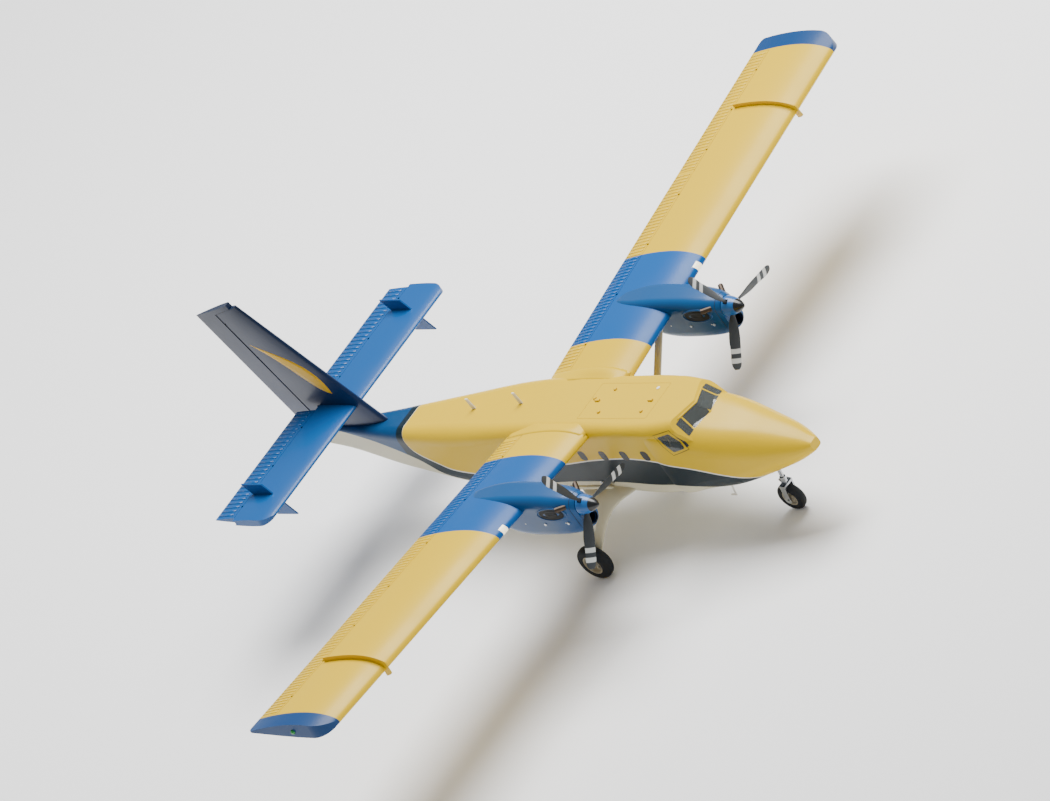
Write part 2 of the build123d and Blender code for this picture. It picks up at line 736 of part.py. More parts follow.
# ---------------------------------------------------------------- tail
STAB_X = at(STAB_REACH)
ELEVATOR_X = STAB_X - ELEVATOR_AT * STAB_CHORD
ELEVATOR_ROLL = thickness_at(ELEVATOR_AT, STAB_T) * STAB_CHORD
ELEVATOR_COVE = ELEVATOR_ROLL + HINGE_GAP
ELEVATOR_HINGE = Plane(origin=(ELEVATOR_X, 0, STAB_Z), x_dir=(1, 0, 0), z_dir=(0, 1, 0))
ELEVATOR_YS = [ELEVATOR_HALF_SPAN * share for share in (0.22, 0.55, 0.90)]
ELEVATOR_TUBE = 2.3


def stab_face(inset=0.0, front=0.0, back=1.0):
    """Section of the tailplane."""
    return airfoil(STAB_CHORD, STAB_X, STAB_Z, STAB_T, 0.0, inset, front, back)


def stab_solid():
    """Outer shape of the tailplane and elevator together, with rounded tips."""
    half = spanwise(stab_face(), 0, STAB_HALF_SPAN)
    half &= planform(STAB_X, STAB_X - STAB_CHORD, 0, STAB_HALF_SPAN, 20.0, 4.0)
    return half + mirrored(half)


def stabilizer():
    """Fixed tailplane: hollow moulding with a cove along its back."""
    body = stab_solid()
    body -= block(ELEVATOR_X, ELEVATOR_X - STAB_CHORD, -300, 300, STAB_Z - 20, STAB_Z + 20)
    body -= y_rod(ELEVATOR_X, STAB_Z, ELEVATOR_COVE, -300, 300)
    rear = ELEVATOR_AT - (ELEVATOR_COVE + TAIL_SKIN) / STAB_CHORD
    half_bays = ((9, FINLET_Y - 3), (FINLET_Y + FINLET_T + 1, STAB_HALF_SPAN - 18))
    for y0, y1 in half_bays:
        hollow = spanwise(stab_face(TAIL_SKIN, 0.03, rear), y0, y1)
        body -= hollow
        body -= mirrored(hollow)
    return body


def elevator():
    """Both elevator halves on one torque tube that passes through the fin."""
    whole = stab_solid()
    aft = block(ELEVATOR_X, ELEVATOR_X - STAB_CHORD, ELEVATOR_ROOT, ELEVATOR_HALF_SPAN, STAB_Z - 20, STAB_Z + 20)
    aft += y_rod(ELEVATOR_X, STAB_Z, ELEVATOR_ROLL, ELEVATOR_ROOT, ELEVATOR_HALF_SPAN)
    half = whole & aft
    back = ELEVATOR_AT + (ELEVATOR_COVE + TAIL_SKIN) / STAB_CHORD
    half -= spanwise(stab_face(TAIL_SKIN, back, 0.93), ELEVATOR_ROOT + 2, ELEVATOR_HALF_SPAN - 6)
    for y in ELEVATOR_YS:
        half -= y_rod(ELEVATOR_X, STAB_Z, ELEVATOR_COVE, y - BRACKET_SLOT / 2, y + BRACKET_SLOT / 2)
    body = half + mirrored(half)
    body += y_rod(ELEVATOR_X, STAB_Z, ELEVATOR_TUBE, -ELEVATOR_ROOT - 1, ELEVATOR_ROOT + 1)
    return body - y_rod(ELEVATOR_X, STAB_Z, TAIL_WIRE_R + RUN_FIT, -300, 300)


def finlets(stab):
    """Swept end plates above and below the tailplane."""
    low = STAB_Z - 30.2
    high = STAB_Z + 22.2
    outline = [(at(-466.6), low), (at(-495.7), high), (at(-533.9), high), (at(-504.9), low)]
    plate = side_prism(outline, FINLET_Y, FINLET_Y + FINLET_T)
    return group([plate - stab, mirrored(plate - stab)])


RUDDER_FOOT = Vector(at(HINGE_BASE), 0, FIN_BASE_Z)
RUDDER_HEAD = Vector(at(HINGE_TOP), 0, FIN_TOP_Z)
RUDDER_AXIS = (RUDDER_HEAD - RUDDER_FOOT).normalized()
RUDDER_HINGE = Plane(origin=RUDDER_FOOT, x_dir=Vector(RUDDER_AXIS.Z, 0, -RUDDER_AXIS.X), z_dir=RUDDER_AXIS)
RUDDER_ROLL = 3.6
RUDDER_BEVEL = 2.9
RUDDER_COVE = RUDDER_ROLL + HINGE_GAP + 0.1


def along_rudder(reach, z):
    """Distance of a side-view point along the rudder hinge from its foot."""
    return (Vector(at(reach), 0, z) - RUDDER_FOOT).dot(RUDDER_AXIS)


RUDDER_LOW = along_rudder(RUDDER_BASE, RUDDER_BASE_Z)
RUDDER_HIGH = along_rudder(-TAIL_REACH, RUDDER_TIP_Z)
FIN_CUT = RUDDER_HIGH - HORN_H
HORN_LEN = (Vector(at(HORN_REACH), 0, FIN_TOP_Z) - RUDDER_FOOT).dot(RUDDER_HINGE.x_dir)
RUDDER_STATIONS = [RUDDER_LOW + (FIN_CUT - RUDDER_LOW) * share for share in (0.12, 0.5, 0.9)]


def fin_volume(inset=0.0, front=0.0, back=1.0):
    """Fin and rudder together as one swept, tapering solid."""
    rise = (FIN_TOP_LE - FIN_BASE_LE) / (FIN_TOP_Z - FIN_BASE_Z)
    run = (-TAIL_REACH - RUDDER_BASE) / (RUDDER_TIP_Z - RUDDER_BASE_Z)
    faces = []
    for z in (FIN_BASE_Z - 12, FIN_TOP_Z + 20):
        nose = FIN_BASE_LE + rise * (z - FIN_BASE_Z)
        tail = RUDDER_BASE + run * (z - RUDDER_BASE_Z)
        plane = Plane(origin=(0, 0, z), x_dir=(1, 0, 0), z_dir=(0, 0, 1))
        faces.append(plane * airfoil(nose - tail, at(nose), 0, FIN_T, 0.0, inset, front, back))
    return loft(faces, ruled=True)


def hinge_box(x0, x1, z0, z1):
    """Box in the rudder hinge's own frame."""
    return RUDDER_HINGE * block(x0, x1, -40, 40, z0, z1)


def hinge_bar(radius, z0, z1):
    """Round bar on the rudder hinge."""
    return RUDDER_HINGE * (Pos(0, 0, (z0 + z1) / 2) * Cylinder(radius, z1 - z0))


def fin_parts(stab, body_outer):
    """Fixed fin and moving rudder."""
    whole = fin_volume()
    gap = PANEL_GAP
    top = RUDDER_HIGH + 60
    aft = hinge_box(-120, 0, RUDDER_LOW - gap, top) + hinge_bar(RUDDER_COVE, RUDDER_LOW - gap, top)
    fixed = whole - aft - hinge_box(-150, 250, FIN_CUT - gap, top)
    inside = fin_volume(TAIL_SKIN, 0.03, 0.94)
    upper = block(at(-700), at(-300), -30, 30, STAB_Z + 9, FIN_TOP_Z - 14)
    lower = block(at(-700), at(-300), -30, 30, FIN_BASE_Z + 6, STAB_Z - 9)
    hollow = inside & (upper + lower)
    hollow -= hinge_box(-200, RUDDER_COVE + TAIL_SKIN, -100, 400)
    fixed = fixed - hollow - stab - body_outer
    fixed -= y_rod(ELEVATOR_X, STAB_Z, ELEVATOR_TUBE + 0.5, -30, 30)
    fixed -= y_rod(ELEVATOR_X, STAB_Z, ELEVATOR_COVE, -30, 30)
    fixed -= hinge_bar(WIRE_R, RUDDER_LOW - 12, RUDDER_LOW)
    front = hinge_bar(RUDDER_ROLL, RUDDER_LOW, RUDDER_HIGH)
    moving = whole & (hinge_box(-120, -RUDDER_BEVEL, RUDDER_LOW, RUDDER_HIGH) + front)
    moving += whole & hinge_box(-10, HORN_LEN, FIN_CUT, RUDDER_HIGH)
    moving -= inside & hinge_box(-120, -RUDDER_COVE - TAIL_SKIN, RUDDER_LOW + 2, FIN_CUT - 2)
    moving -= hinge_bar(WIRE_R + RUN_FIT, RUDDER_LOW - 1, FIN_CUT - 6)
    for station in RUDDER_STATIONS:
        moving -= hinge_bar(RUDDER_COVE, station - BRACKET_SLOT / 2, station + BRACKET_SLOT / 2)
    return largest(fixed), largest(moving)


def tail_brackets():
    """Hinge brackets of the elevator and the rudder."""
    pieces = []
    for y in ELEVATOR_YS:
        piece = bracket(ELEVATOR_HINGE, y, ELEVATOR_COVE, TAIL_WIRE_R)
        pieces += [piece, mirrored(piece)]
    pieces += [bracket(RUDDER_HINGE, station, RUDDER_COVE, WIRE_R) for station in RUDDER_STATIONS]
    return pieces


def tail_wires():
    """Hinge wires of the elevator and the rudder."""
    reach = ELEVATOR_HALF_SPAN - 3
    level = y_rod(ELEVATOR_X, STAB_Z, TAIL_WIRE_R, -reach, reach)
    return [level, hinge_bar(WIRE_R, RUDDER_LOW - 10, FIN_CUT - 8)]
# ---------------------------------------------------------------- fuselage parts
WINDOW_FRONT = 78.8
SIDE_WINDOW = ((118.5, 170.5), (139.5, 173.5), (154.5, 150.5), (134.5, 147.0))
QUARTER_WINDOW = ((143.0, 171.0), (162.0, 153.0), (157.5, 151.0))
PANE_OUTLINES = (
    ((1.6, 1.6), (29.5, -2.0), (31.0, 20.6), (1.6, 21.2)),
    ((31.5, -2.4), (41.5, -4.5), (43.5, 18.0), (33.0, 20.3)),
)
PANE_CORNER = 1.4
PANE_DEPTH = 6.0


def pane_cutters():
    """Prisms through the skin, one for each pane of the windscreen."""
    cutters = []
    for side in (1, -1):
        for outline in PANE_OUTLINES:
            points = [(x, side * y) for x, y in outline]
            face = fillet(make_face(Polyline(*points, close=True)).vertices(), PANE_CORNER)
            cutters.append(pane_plane(side, 0) * extrude(face, amount=PANE_DEPTH, both=True))
    return cutters


def side_cutters():
    """Prisms through both sides for the cockpit door and quarter windows."""
    cutters = []
    for outline, radius in ((SIDE_WINDOW, 2.0), (QUARTER_WINDOW, 0.6)):
        face = make_face(Polyline(*[(at(reach), z) for reach, z in outline], close=True))
        face = fillet(face.vertices(), radius)
        port = extrude(side_plane(25) * face, amount=-50)
        cutters += [port, mirrored(port)]
    return cutters


def cabin_cutters():
    """Rounded upright window prisms along both sides of the cabin."""
    cutters = []
    for i in range(WINDOW_COUNT):
        x = at(WINDOW_FRONT - i * WINDOW_PITCH)
        face = Pos(x, WINDOW_Z) * RectangleRounded(WINDOW_W, WINDOW_H, WINDOW_W * 0.42)
        port = extrude(side_plane(40) * face, amount=-30)
        cutters += [port, mirrored(port)]
    return cutters


def hatch_block(gap):
    """Tall box over the roof hatch, smaller by `gap` all round."""
    x0 = at(HATCH_BACK) + gap
    x1 = at(HATCH_FRONT) - gap
    half = HATCH_HALF_W - gap
    return block(x0, x1, -half, half, ROOF_Z - 8, ROOF_Z + 10)


def cut_all(shape, cutters):
    """Take each cutter away in turn."""
    for cutter in cutters:
        shape = shape - cutter
    return shape


def fuselage_parts(outer, inner, rods):
    """Half shells, glazing and the roof hatch."""
    shell = outer - inner
    hatch = shell & hatch_block(PANEL_GAP)
    shell -= hatch_block(0)
    windscreen = []
    for cutter in pane_cutters():
        windscreen.append(largest(shell & cutter))
        shell -= cutter
    side_glass = []
    for cutter in side_cutters():
        side_glass.append(largest(shell & cutter))
        shell -= cutter
    cabin = []
    for cutter in cabin_cutters():
        cabin.append(largest(shell & cutter))
        shell -= cutter
    shell = cut_all(shell, rods)
    port = block(at(-800), at(600), 0, 200, -50, 500)
    left = largest(shell & port)
    right = largest(shell - port)
    return left, right, hatch, windscreen, side_glass, cabin


def hatch_panel(hatch):
    """Roof hatch: its panel, a stiffening frame below and two finger lugs."""
    top = ROOF_Z - SKIN
    half = HATCH_HALF_W - 5
    x0 = at(HATCH_BACK) + 5
    x1 = at(HATCH_FRONT) - 5
    frame = block(x0, x1, -half, half, top - 3, top) - block(x0 + 3, x1 - 3, -half + 3, half - 3, top - 4, top + 1)
    body = hatch + frame
    for reach in (HATCH_BACK + 14, HATCH_FRONT - 14):
        body += block(at(reach) - 4, at(reach) + 4, -1.5, 1.5, ROOF_Z - 1, ROOF_Z + 2.2)
    return largest(body)


FORMER_REACHES = (FIREWALL_REACH, -102.0, -250.0)
FORMER_HOLE_W = 26.0
TRAY_T = 2.0
TRAY_Z = 93.0


def formers(inner, rods):
    """Plywood rings across the inside of the body."""
    rings = []
    for reach in FORMER_REACHES:
        slab = inner & block(at(reach), at(reach) + FORMER_T, -80, 80, 0, 300)
        tall = slab.bounding_box()
        mid = (tall.min.Z + tall.max.Z) / 2
        hole_h = (tall.max.Z - tall.min.Z) - 30
        hole_w = min(2 * FORMER_HOLE_W + 8, tall.max.Y * 2 - 30)
        face = Plane(origin=(at(reach) - 1, 0, mid), x_dir=(0, 1, 0), z_dir=(1, 0, 0))
        hole = extrude(face * RectangleRounded(hole_w, hole_h, 8), amount=FORMER_T + 2)
        rings.append(largest(cut_all(slab - hole, rods)))
    return rings


def battery_tray():
    """Plywood tray between the first two formers."""
    x0 = at(FORMER_REACHES[1]) + FORMER_T
    x1 = at(FORMER_REACHES[0])
    tray = block(x0, x1, -BATTERY_W / 2 - 5, BATTERY_W / 2 + 5, TRAY_Z - TRAY_T - 8, TRAY_Z - 8)
    for i in range(5):
        x = x0 + 30 + 40 * i
        tray -= block(x, x + 16, -12, 12, TRAY_Z - 30, TRAY_Z)
    return tray


BATTERY_LEN = 106.0
BATTERY_W = 35.0
BATTERY_H = 26.0
BATTERY_FRONT = 126.0
RECEIVER = (42.0, 24.0, 13.0)


def battery():
    """Battery pack strapped to the tray, with soft corners."""
    x1 = at(BATTERY_FRONT)
    z0 = TRAY_Z - 8
    pack = block(x1 - BATTERY_LEN, x1, -BATTERY_W / 2, BATTERY_W / 2, z0, z0 + BATTERY_H)
    return fillet(pack.edges().filter_by(Axis.X), 3)


def receiver():
    """Receiver box behind the battery."""
    x1 = at(BATTERY_FRONT) - BATTERY_LEN - 14
    length, width, height = RECEIVER
    box = block(x1 - length, x1, -width / 2, width / 2, TRAY_Z - 8, TRAY_Z - 8 + height)
    return fillet(box.edges().filter_by(Axis.Z), 1.5)


def ballast(inner):
    """Nose weight cast to the inside of the nose floor."""
    slug = block(at(240), at(290), -18, 18, 0, BELLY_Z + 40)
    return inner & slug


def cockpit(inner):
    """Cockpit floor, instrument panel with its shroud, and two seats."""
    floor_z = BELLY_Z + BODY_H * 0.44
    x0 = at(FIREWALL_REACH) + FORMER_T
    floor = block(x0, at(182), -100, 100, floor_z, floor_z + 1.5) & inner
    panel = block(at(168), at(171), -36, 36, floor_z + 1.5, floor_z + 30)
    shroud = block(at(162), at(173), -37, 37, floor_z + 30, floor_z + 32)
    pieces = [largest(floor), (panel + shroud) & inner]
    for y in (-19, 19):
        seat = block(at(137), at(152), y - 10, y + 10, floor_z + 1.5, floor_z + 12)
        back = block(at(135.5), at(139), y - 10, y + 10, floor_z + 1.5, floor_z + 38)
        back = fillet(back.edges().filter_by(Axis.X).group_by(Axis.Z)[-1], 5)
        pieces.append(seat + back)
    return group(pieces)


def aerials(outer):
    """Blade aerials on the roof, and the probe mast under the nose."""
    pieces = []
    for reach, tall in ((-153.0, 19.0), (-247.0, 18.0)):
        top = 200.0 if reach > -200 else 190.0
        outline = [(at(reach) + 5, 150), (at(reach) - 5, 150), (at(reach) - 8, top), (at(reach) - 3.5, top)]
        pieces.append(largest(side_prism(outline, -0.8, 0.8) - outer))
    foot = (at(142), -12, BELLY_Z + 6)
    tip = (at(131), -12, BELLY_Z - 36)
    mast = rod(foot, tip, 1.2) - outer
    mast += rod((tip[0] + 1, -12, tip[2]), (tip[0] - 8, -12, tip[2]), 1.2)
    pieces.append(largest(mast))
    return group(pieces)


# ---------------------------------------------------------------- struts and landing gear
STRUT_LOW = (-24.0, BODY_HALF_W - 3, BELLY_Z + 14)
STRUT_HIGH = (-17.0, 149.0)
STRUT_CHORD = 13.0
STRUT_T = 5.0


def strut(outer, wing_solid, nacelle_solid, leg):
    """Streamlined wing strut from the lower corner of the body to the wing."""
    start = Vector(at(STRUT_LOW[0]), STRUT_LOW[1], STRUT_LOW[2])
    end = Vector(at(STRUT_HIGH[0]), STRUT_HIGH[1], WING_HEIGHT + STRUT_HIGH[1] * tan(radians(DIHEDRAL)))
    along = (end - start).normalized()
    plane = Plane(origin=start, x_dir=Vector(1, 0, 0), z_dir=along)
    bar = extrude(plane * Ellipse(STRUT_CHORD / 2, STRUT_T / 2), amount=(end - start).length)
    return largest(bar - outer - wing_solid - nacelle_solid - leg)


# distance out, reach of the front and back edges, height, thickness
LEG_ROWS = (
    (BODY_HALF_W - 12, 24.0, -86.0, BELLY_Z + 15.0, 12.0),
    (BODY_HALF_W + 3, 14.0, -76.0, BELLY_Z + 12.0, 11.0),
    (BODY_HALF_W + 20, -12.0, -50.0, BELLY_Z + 3.0, 8.5),
    (HALF_TRACK - 21, -33.0, -52.0, BELLY_Z - 24.0, 6.5),
    (HALF_TRACK - 11.0, -41.0, -56.0, MAIN_R + 7, 6.0),
)


def gear_leg(outer):
    """Faired main leg, wide where it leaves the body and slim at the wheel, with its axle lug."""
    faces = []
    for i, (out, front, back, height, thick) in enumerate(LEG_ROWS):
        before = LEG_ROWS[max(i - 1, 0)]
        after = LEG_ROWS[min(i + 1, len(LEG_ROWS) - 1)]
        slope = Vector(0, after[0] - before[0], after[3] - before[3]).normalized()
        plane = Plane(origin=(at((front + back) / 2), out, height), x_dir=(1, 0, 0), z_dir=slope)
        faces.append(plane * Ellipse((front - back) / 2, thick / 2))
    leg = loft(faces) - outer
    lug = rod((at(MAIN_REACH), HALF_TRACK - 13.5, MAIN_R), (at(MAIN_REACH), HALF_TRACK - 9.5, MAIN_R), 6.5)
    lug += block(at(MAIN_REACH) - 5.5, at(MAIN_REACH) + 5.5, HALF_TRACK - 13.5, HALF_TRACK - 9.5, MAIN_R, MAIN_R + 9)
    leg = largest(leg + lug)
    return leg - rod((at(MAIN_REACH), 0, MAIN_R), (at(MAIN_REACH), HALF_TRACK + 20, MAIN_R), AXLE_R)


def main_axle():
    """Axle through the lug and the wheel, with its end collar."""
    x = at(MAIN_REACH)
    axle = rod((x, HALF_TRACK - 15, MAIN_R), (x, HALF_TRACK + MAIN_TYRE_W / 2 + 2.5, MAIN_R), AXLE_R)
    end = HALF_TRACK + MAIN_TYRE_W / 2
    axle += rod((x, end + 0.9, MAIN_R), (x, end + 2.5, MAIN_R), AXLE_R + 1.4)
    axle += rod((x, HALF_TRACK - 15, MAIN_R), (x, HALF_TRACK - 13.5, MAIN_R), AXLE_R + 1.4)
    return axle


def tyre(radius, width, rim):
    """Tyre ring with a flat tread and round shoulders, about Y at the origin."""
    shoulder = width * 0.42
    ring = rod((0, -width / 2, 0), (0, width / 2, 0), radius)
    outer_edges = ring.edges().filter_by(GeomType.CIRCLE)
    ring = fillet(outer_edges, shoulder)
    return ring - rod((0, -width, 0), (0, width, 0), rim)


def wheel_hub(width, rim, bore):
    """Wheel hub: rim, dished web with holes, and a boss bored to run on the axle."""
    hub = rod((0, -width / 2 + 0.8, 0), (0, width / 2 - 0.8, 0), rim)
    dish = rim - 1.6
    for side in (1, -1):
        hub -= rod((0, side * width * 0.14, 0), (0, side * width, 0), dish)
    boss = AXLE_R + 2.2
    hub += rod((0, -width / 2 + 0.3, 0), (0, width / 2 + 0.3, 0), boss)
    for i in range(6):
        angle = radians(60 * i)
        x = (dish + boss) / 2 * cos(angle)
        z = (dish + boss) / 2 * sin(angle)
        hub -= rod((x, -width, z), (x, width, z), (dish - boss) * 0.30)
    return hub - rod((0, -width, 0), (0, width, 0), bore + RUN_FIT)


MAIN_RIM = MAIN_R * 0.58
NOSE_RIM = NOSE_R * 0.58


def raked(shape):
    """Tilt a nose gear part about the nose axle to the rake of the leg."""
    pivot = Pos(at(NOSE_WHEEL_REACH), 0, NOSE_R)
    return pivot * Rot(0, NOSE_RAKE, 0) * shape


FORK_GAP = NOSE_TYRE_W / 2 + 1.2
FORK_T = 2.0
LEG_TOP = 66.0
BLOCK_LOW = 50.0
BLOCK_HIGH = 62.0


def nose_leg():
    """Steered leg: post, crown, two fork blades, the axle and the steering tiller."""
    post = rod((0, 0, NOSE_R + 3), (0, 0, LEG_TOP), LEG_R)
    post += rod((0, 0, NOSE_R + 7), (0, 0, NOSE_R + 15), LEG_R + 1.3)
    reach = FORK_GAP + FORK_T
    crown = block(-4.5, 4.5, -reach, reach, NOSE_R + 1.5, NOSE_R + 4.5)
    leg = post + crown
    for side in (1, -1):
        y0 = side * FORK_GAP
        y1 = side * reach
        leg += block(-4.0, 4.0, min(y0, y1), max(y0, y1), 0, NOSE_R + 4)
        leg += rod((0, y0, 0), (0, y1, 0), 5.0)
    leg += rod((0, -reach - 1.2, 0), (0, reach + 1.2, 0), AXLE_R - 0.5)
    link = [(2.5, NOSE_R + 14), (8.0, NOSE_R + 9), (4.2, NOSE_R + 3), (2.5, NOSE_R + 3), (6.2, NOSE_R + 9), (2.0, NOSE_R + 12)]
    torque_link = make_face(Polyline(*link, close=True))
    leg += extrude(Plane(origin=(0, 2, 0), x_dir=(-1, 0, 0), z_dir=(0, 1, 0)) * torque_link, amount=-4)
    leg += rod((0, 0, BLOCK_HIGH + 0.4), (0, 0, BLOCK_HIGH + 2.4), LEG_R + 1.6)
    leg += block(-2.2, 2.2, 0, 15, BLOCK_HIGH + 0.4, BLOCK_HIGH + 2.4)
    return raked(leg)


def nose_block(inner):
    """Bearing block for the nose leg, standing on the nose floor."""
    body = block(-10, 10, -9, 9, BLOCK_LOW - 12, BLOCK_HIGH)
    body = raked(body) & inner
    return largest(body - raked(rod((0, 0, 0), (0, 0, 90), LEG_R + RUN_FIT)))


def leg_clearance():
    """Hole in the nose floor that the leg passes through."""
    return raked(rod((0, 0, 25), (0, 0, 60), LEG_R + 0.9))


def strut_screws(outer):
    """Button-head screws at the foot of each strut and along the lower cowls."""
    heads = []
    for reach in (STRUT_LOW[0] - 11, STRUT_LOW[0] + 11):
        y = BODY_HALF_W
        z = BELLY_Z + 26
        heads.append(rod((at(reach), y, z), (at(reach), y + 1.1, z), 1.9))
        heads[-1] -= rod((at(reach), y + 0.5, z), (at(reach), y + 2, z), 0.8)
    for reach in (COWL_FRONT - 20, COWL_FRONT - 60):
        for side in (1, -1):
            z = SPLIT_Z - 5
            y = NACELLE_Y + side * (19.0 if reach > COWL_FRONT - 30 else 21.1)
            head = rod((at(reach), NACELLE_Y + side * 15, z), (at(reach), y + side * 1.4, z), 1.9)
            heads.append(largest(head - nacelle_volume(0)))
    return heads


# ---------------------------------------------------------------- assembly
def build():
    """Make every named part of the aeroplane."""
    parts = {}
    outer = body_volume(0)
    inner = body_volume(SKIN)
    rods = joiner_rods()
    wing_solid = flat_wing_solid()
    nacelle_solid = nacelle_volume(0)

    left, right, hatch, windscreen, side_glass, cabin = fuselage_parts(outer, inner, rods)
    parts["fuselage_left_shell"] = left - leg_clearance()
    parts["fuselage_right_shell"] = right - leg_clearance()
    parts["roof_hatch"] = hatch_panel(hatch)
    parts["windshield"] = group(windscreen)
    parts["cockpit_side_windows"] = group(side_glass)
    parts["cabin_windows"] = group(cabin)
    parts["formers_and_tray"] = group(formers(inner, rods) + [battery_tray()])
    parts["battery_pack"] = battery()
    parts["nose_ballast"] = ballast(inner)
    parts["cockpit_interior"] = cockpit(inner)
    parts["aerials"] = aerials(outer)

    lens = light_lens()
    wing = wing_body() - lens
    wing = cut_all(wing, rods)
    servo = servo_case()
    wing = wing - raise_wing(arm_slot())
    parts["wing_left"] = largest(wing)
    parts["wing_right"] = mirrored(largest(wing))
    parts["wing_tips"] = both(tip_cap())
    parts["wing_fences"] = both(fence())
    parts["wing_joiner_rods"] = group(rods)
    parts["landing_lights"] = both(lens)
    parts["nav_light_red"] = nav_lens()
    parts["nav_light_green"] = mirrored(nav_lens())

    gap = PANEL_GAP
    flap = raise_wing(surface(BAY_ROOT + gap, BREAK_SPAN - gap, FLAP_YS))
    aileron = surface(BREAK_SPAN + gap, BAY_TIP - gap, AILERON_YS) + horn()
    aileron -= y_rod(HINGE_X, HINGE_Z, WIRE_R + RUN_FIT, BREAK_SPAN, BAY_TIP)
    aileron = raise_wing(aileron)
    parts["flap_left"] = flap
    parts["flap_right"] = mirrored(flap)
    parts["aileron_left"] = aileron
    parts["aileron_right"] = mirrored(aileron)
    parts["servo_arm_left"] = servo_arm()
    parts["servo_arm_right"] = mirrored(servo_arm())
    parts["pushrod_left"] = pushrod()
    parts["pushrod_right"] = mirrored(pushrod())

    upper, lower = nacelle_parts(wing_solid)
    parts["nacelle_left"] = upper
    parts["nacelle_right"] = mirrored(upper)
    parts["nacelle_lower_cowls"] = both(lower)
    parts["intake_lips"] = both(intake_lip())
    parts["motor_mounts"] = both(motor_mount())
    parts["motor_stators"] = both(motor_stator())
    boxes = [receiver(), servo, mirrored(servo), speed_controller(), mirrored(speed_controller())]
    parts["electronics"] = group(boxes)
    stubs = exhausts()
    parts["exhaust_stubs"] = group(stubs + [mirrored(stub) for stub in stubs])
    for name, shape in (("propeller", propeller()), ("spinner", spinner()), ("motor_rotor", motor_rotor())):
        parts[name + "_left"] = shape
        parts[name + "_right"] = Pos(0, -2 * NACELLE_Y, 0) * shape

    stab = stabilizer()
    fin, rudder = fin_parts(stab, outer)
    parts["stabilizer"] = stab
    parts["elevator"] = elevator()
    parts["finlets"] = finlets(stab)
    parts["tail_fin"] = fin
    parts["rudder"] = rudder

    wing_hinges = wing_brackets()
    parts["hinge_brackets"] = group(wing_hinges + [mirrored(b) for b in wing_hinges] + tail_brackets())
    wires = hinge_wires()
    parts["hinge_wires"] = group(wires + [mirrored(w) for w in wires] + tail_wires())

    leg = gear_leg(outer)
    parts["wing_struts"] = both(strut(outer, wing_solid, nacelle_solid, leg))
    parts["main_gear_legs"] = both(leg)
    parts["main_gear_axles"] = both(main_axle())
    main_spot = Pos(at(MAIN_REACH), HALF_TRACK, MAIN_R)
    main_tyre = main_spot * tyre(MAIN_R, MAIN_TYRE_W, MAIN_RIM)
    main_hub = main_spot * wheel_hub(MAIN_TYRE_W, MAIN_RIM, AXLE_R)
    parts["main_tyre_left"] = main_tyre
    parts["main_tyre_right"] = mirrored(main_tyre)
    parts["main_hub_left"] = main_hub
    parts["main_hub_right"] = mirrored(main_hub)
    nose_spot = Pos(at(NOSE_WHEEL_REACH), 0, NOSE_R)
    parts["nose_tyre"] = nose_spot * tyre(NOSE_R, NOSE_TYRE_W, NOSE_RIM)
    parts["nose_hub"] = nose_spot * wheel_hub(NOSE_TYRE_W, NOSE_RIM, AXLE_R - 0.5)
    parts["nose_leg"] = nose_leg()
    parts["nose_leg_block"] = nose_block(inner)
    screws = strut_screws(outer)
    parts["screws"] = group(screws + [mirrored(screw) for screw in screws])
    return parts


os.makedirs("parts", exist_ok=True)
for name, shape in build().items():
    shape.label = name
    export_step(shape, f"parts/{name}.step")
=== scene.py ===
import math

import bmesh
import bpy
from mathutils import Matrix, Vector
from mathutils.bvhtree import BVHTree


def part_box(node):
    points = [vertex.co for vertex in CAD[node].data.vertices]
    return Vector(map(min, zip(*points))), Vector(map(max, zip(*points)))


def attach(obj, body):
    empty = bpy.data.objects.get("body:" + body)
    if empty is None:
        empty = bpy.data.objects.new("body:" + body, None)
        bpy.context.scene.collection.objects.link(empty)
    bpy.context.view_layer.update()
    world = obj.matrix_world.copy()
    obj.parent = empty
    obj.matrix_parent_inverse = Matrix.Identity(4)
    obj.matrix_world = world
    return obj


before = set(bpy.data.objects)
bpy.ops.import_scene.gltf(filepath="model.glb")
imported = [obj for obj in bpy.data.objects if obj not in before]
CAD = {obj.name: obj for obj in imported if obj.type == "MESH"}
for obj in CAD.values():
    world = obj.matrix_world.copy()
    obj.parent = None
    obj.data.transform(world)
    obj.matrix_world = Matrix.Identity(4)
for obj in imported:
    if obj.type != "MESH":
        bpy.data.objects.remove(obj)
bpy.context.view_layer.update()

# Places and sizes are in metres, in the part's own frame: +X to the nose, +Y to port, +Z up.
MM = 0.001
SIDES = (-1, 1)
DOWN = (0, 0, -1)
OVERHEAD = 0.3
ENGINE_Y = 0.173
SHAFT_Z = 0.1788

YELLOW = "D8B200"
ROYAL = "004478"
NAVY = "001A24"
CREAM = "D6CFB2"
PALE = "E9E7DE"
INK = "14171A"
WING_BLUE = "005094"
TIP_BLUE = "00396E"
FIN_TOP = "031426"
BAND_GREY = "C9CBC8"
# Painted shade colour for the nacelle flanks.
NACELLE_FLANK_SHADE = "17222B"
GRIME = "2A2620"

SHELLS = ("fuselage_left_shell", "fuselage_right_shell")
NACELLES = ("nacelle_left", "nacelle_right", "nacelle_lower_cowls")


def linear(code):
    """A six-digit sRGB colour as the linear colour that shader sockets take."""
    channels = []
    for start in (0, 2, 4):
        level = int(code[start : start + 2], 16) / 255
        low = level / 12.92
        channels.append(low if level <= 0.04045 else ((level + 0.055) / 1.055) ** 2.4)
    return (*channels, 1.0)


def add(tree, kind, inputs=None, **settings):
    """Adds one shader node, sets its options, then fills or links its sockets."""
    made = tree.nodes.new(kind)
    for option, value in settings.items():
        setattr(made, option, value)
    for key, value in (inputs or {}).items():
        if isinstance(value, bpy.types.NodeSocket):
            tree.links.new(value, made.inputs[key])
        else:
            made.inputs[key].default_value = value
    return made


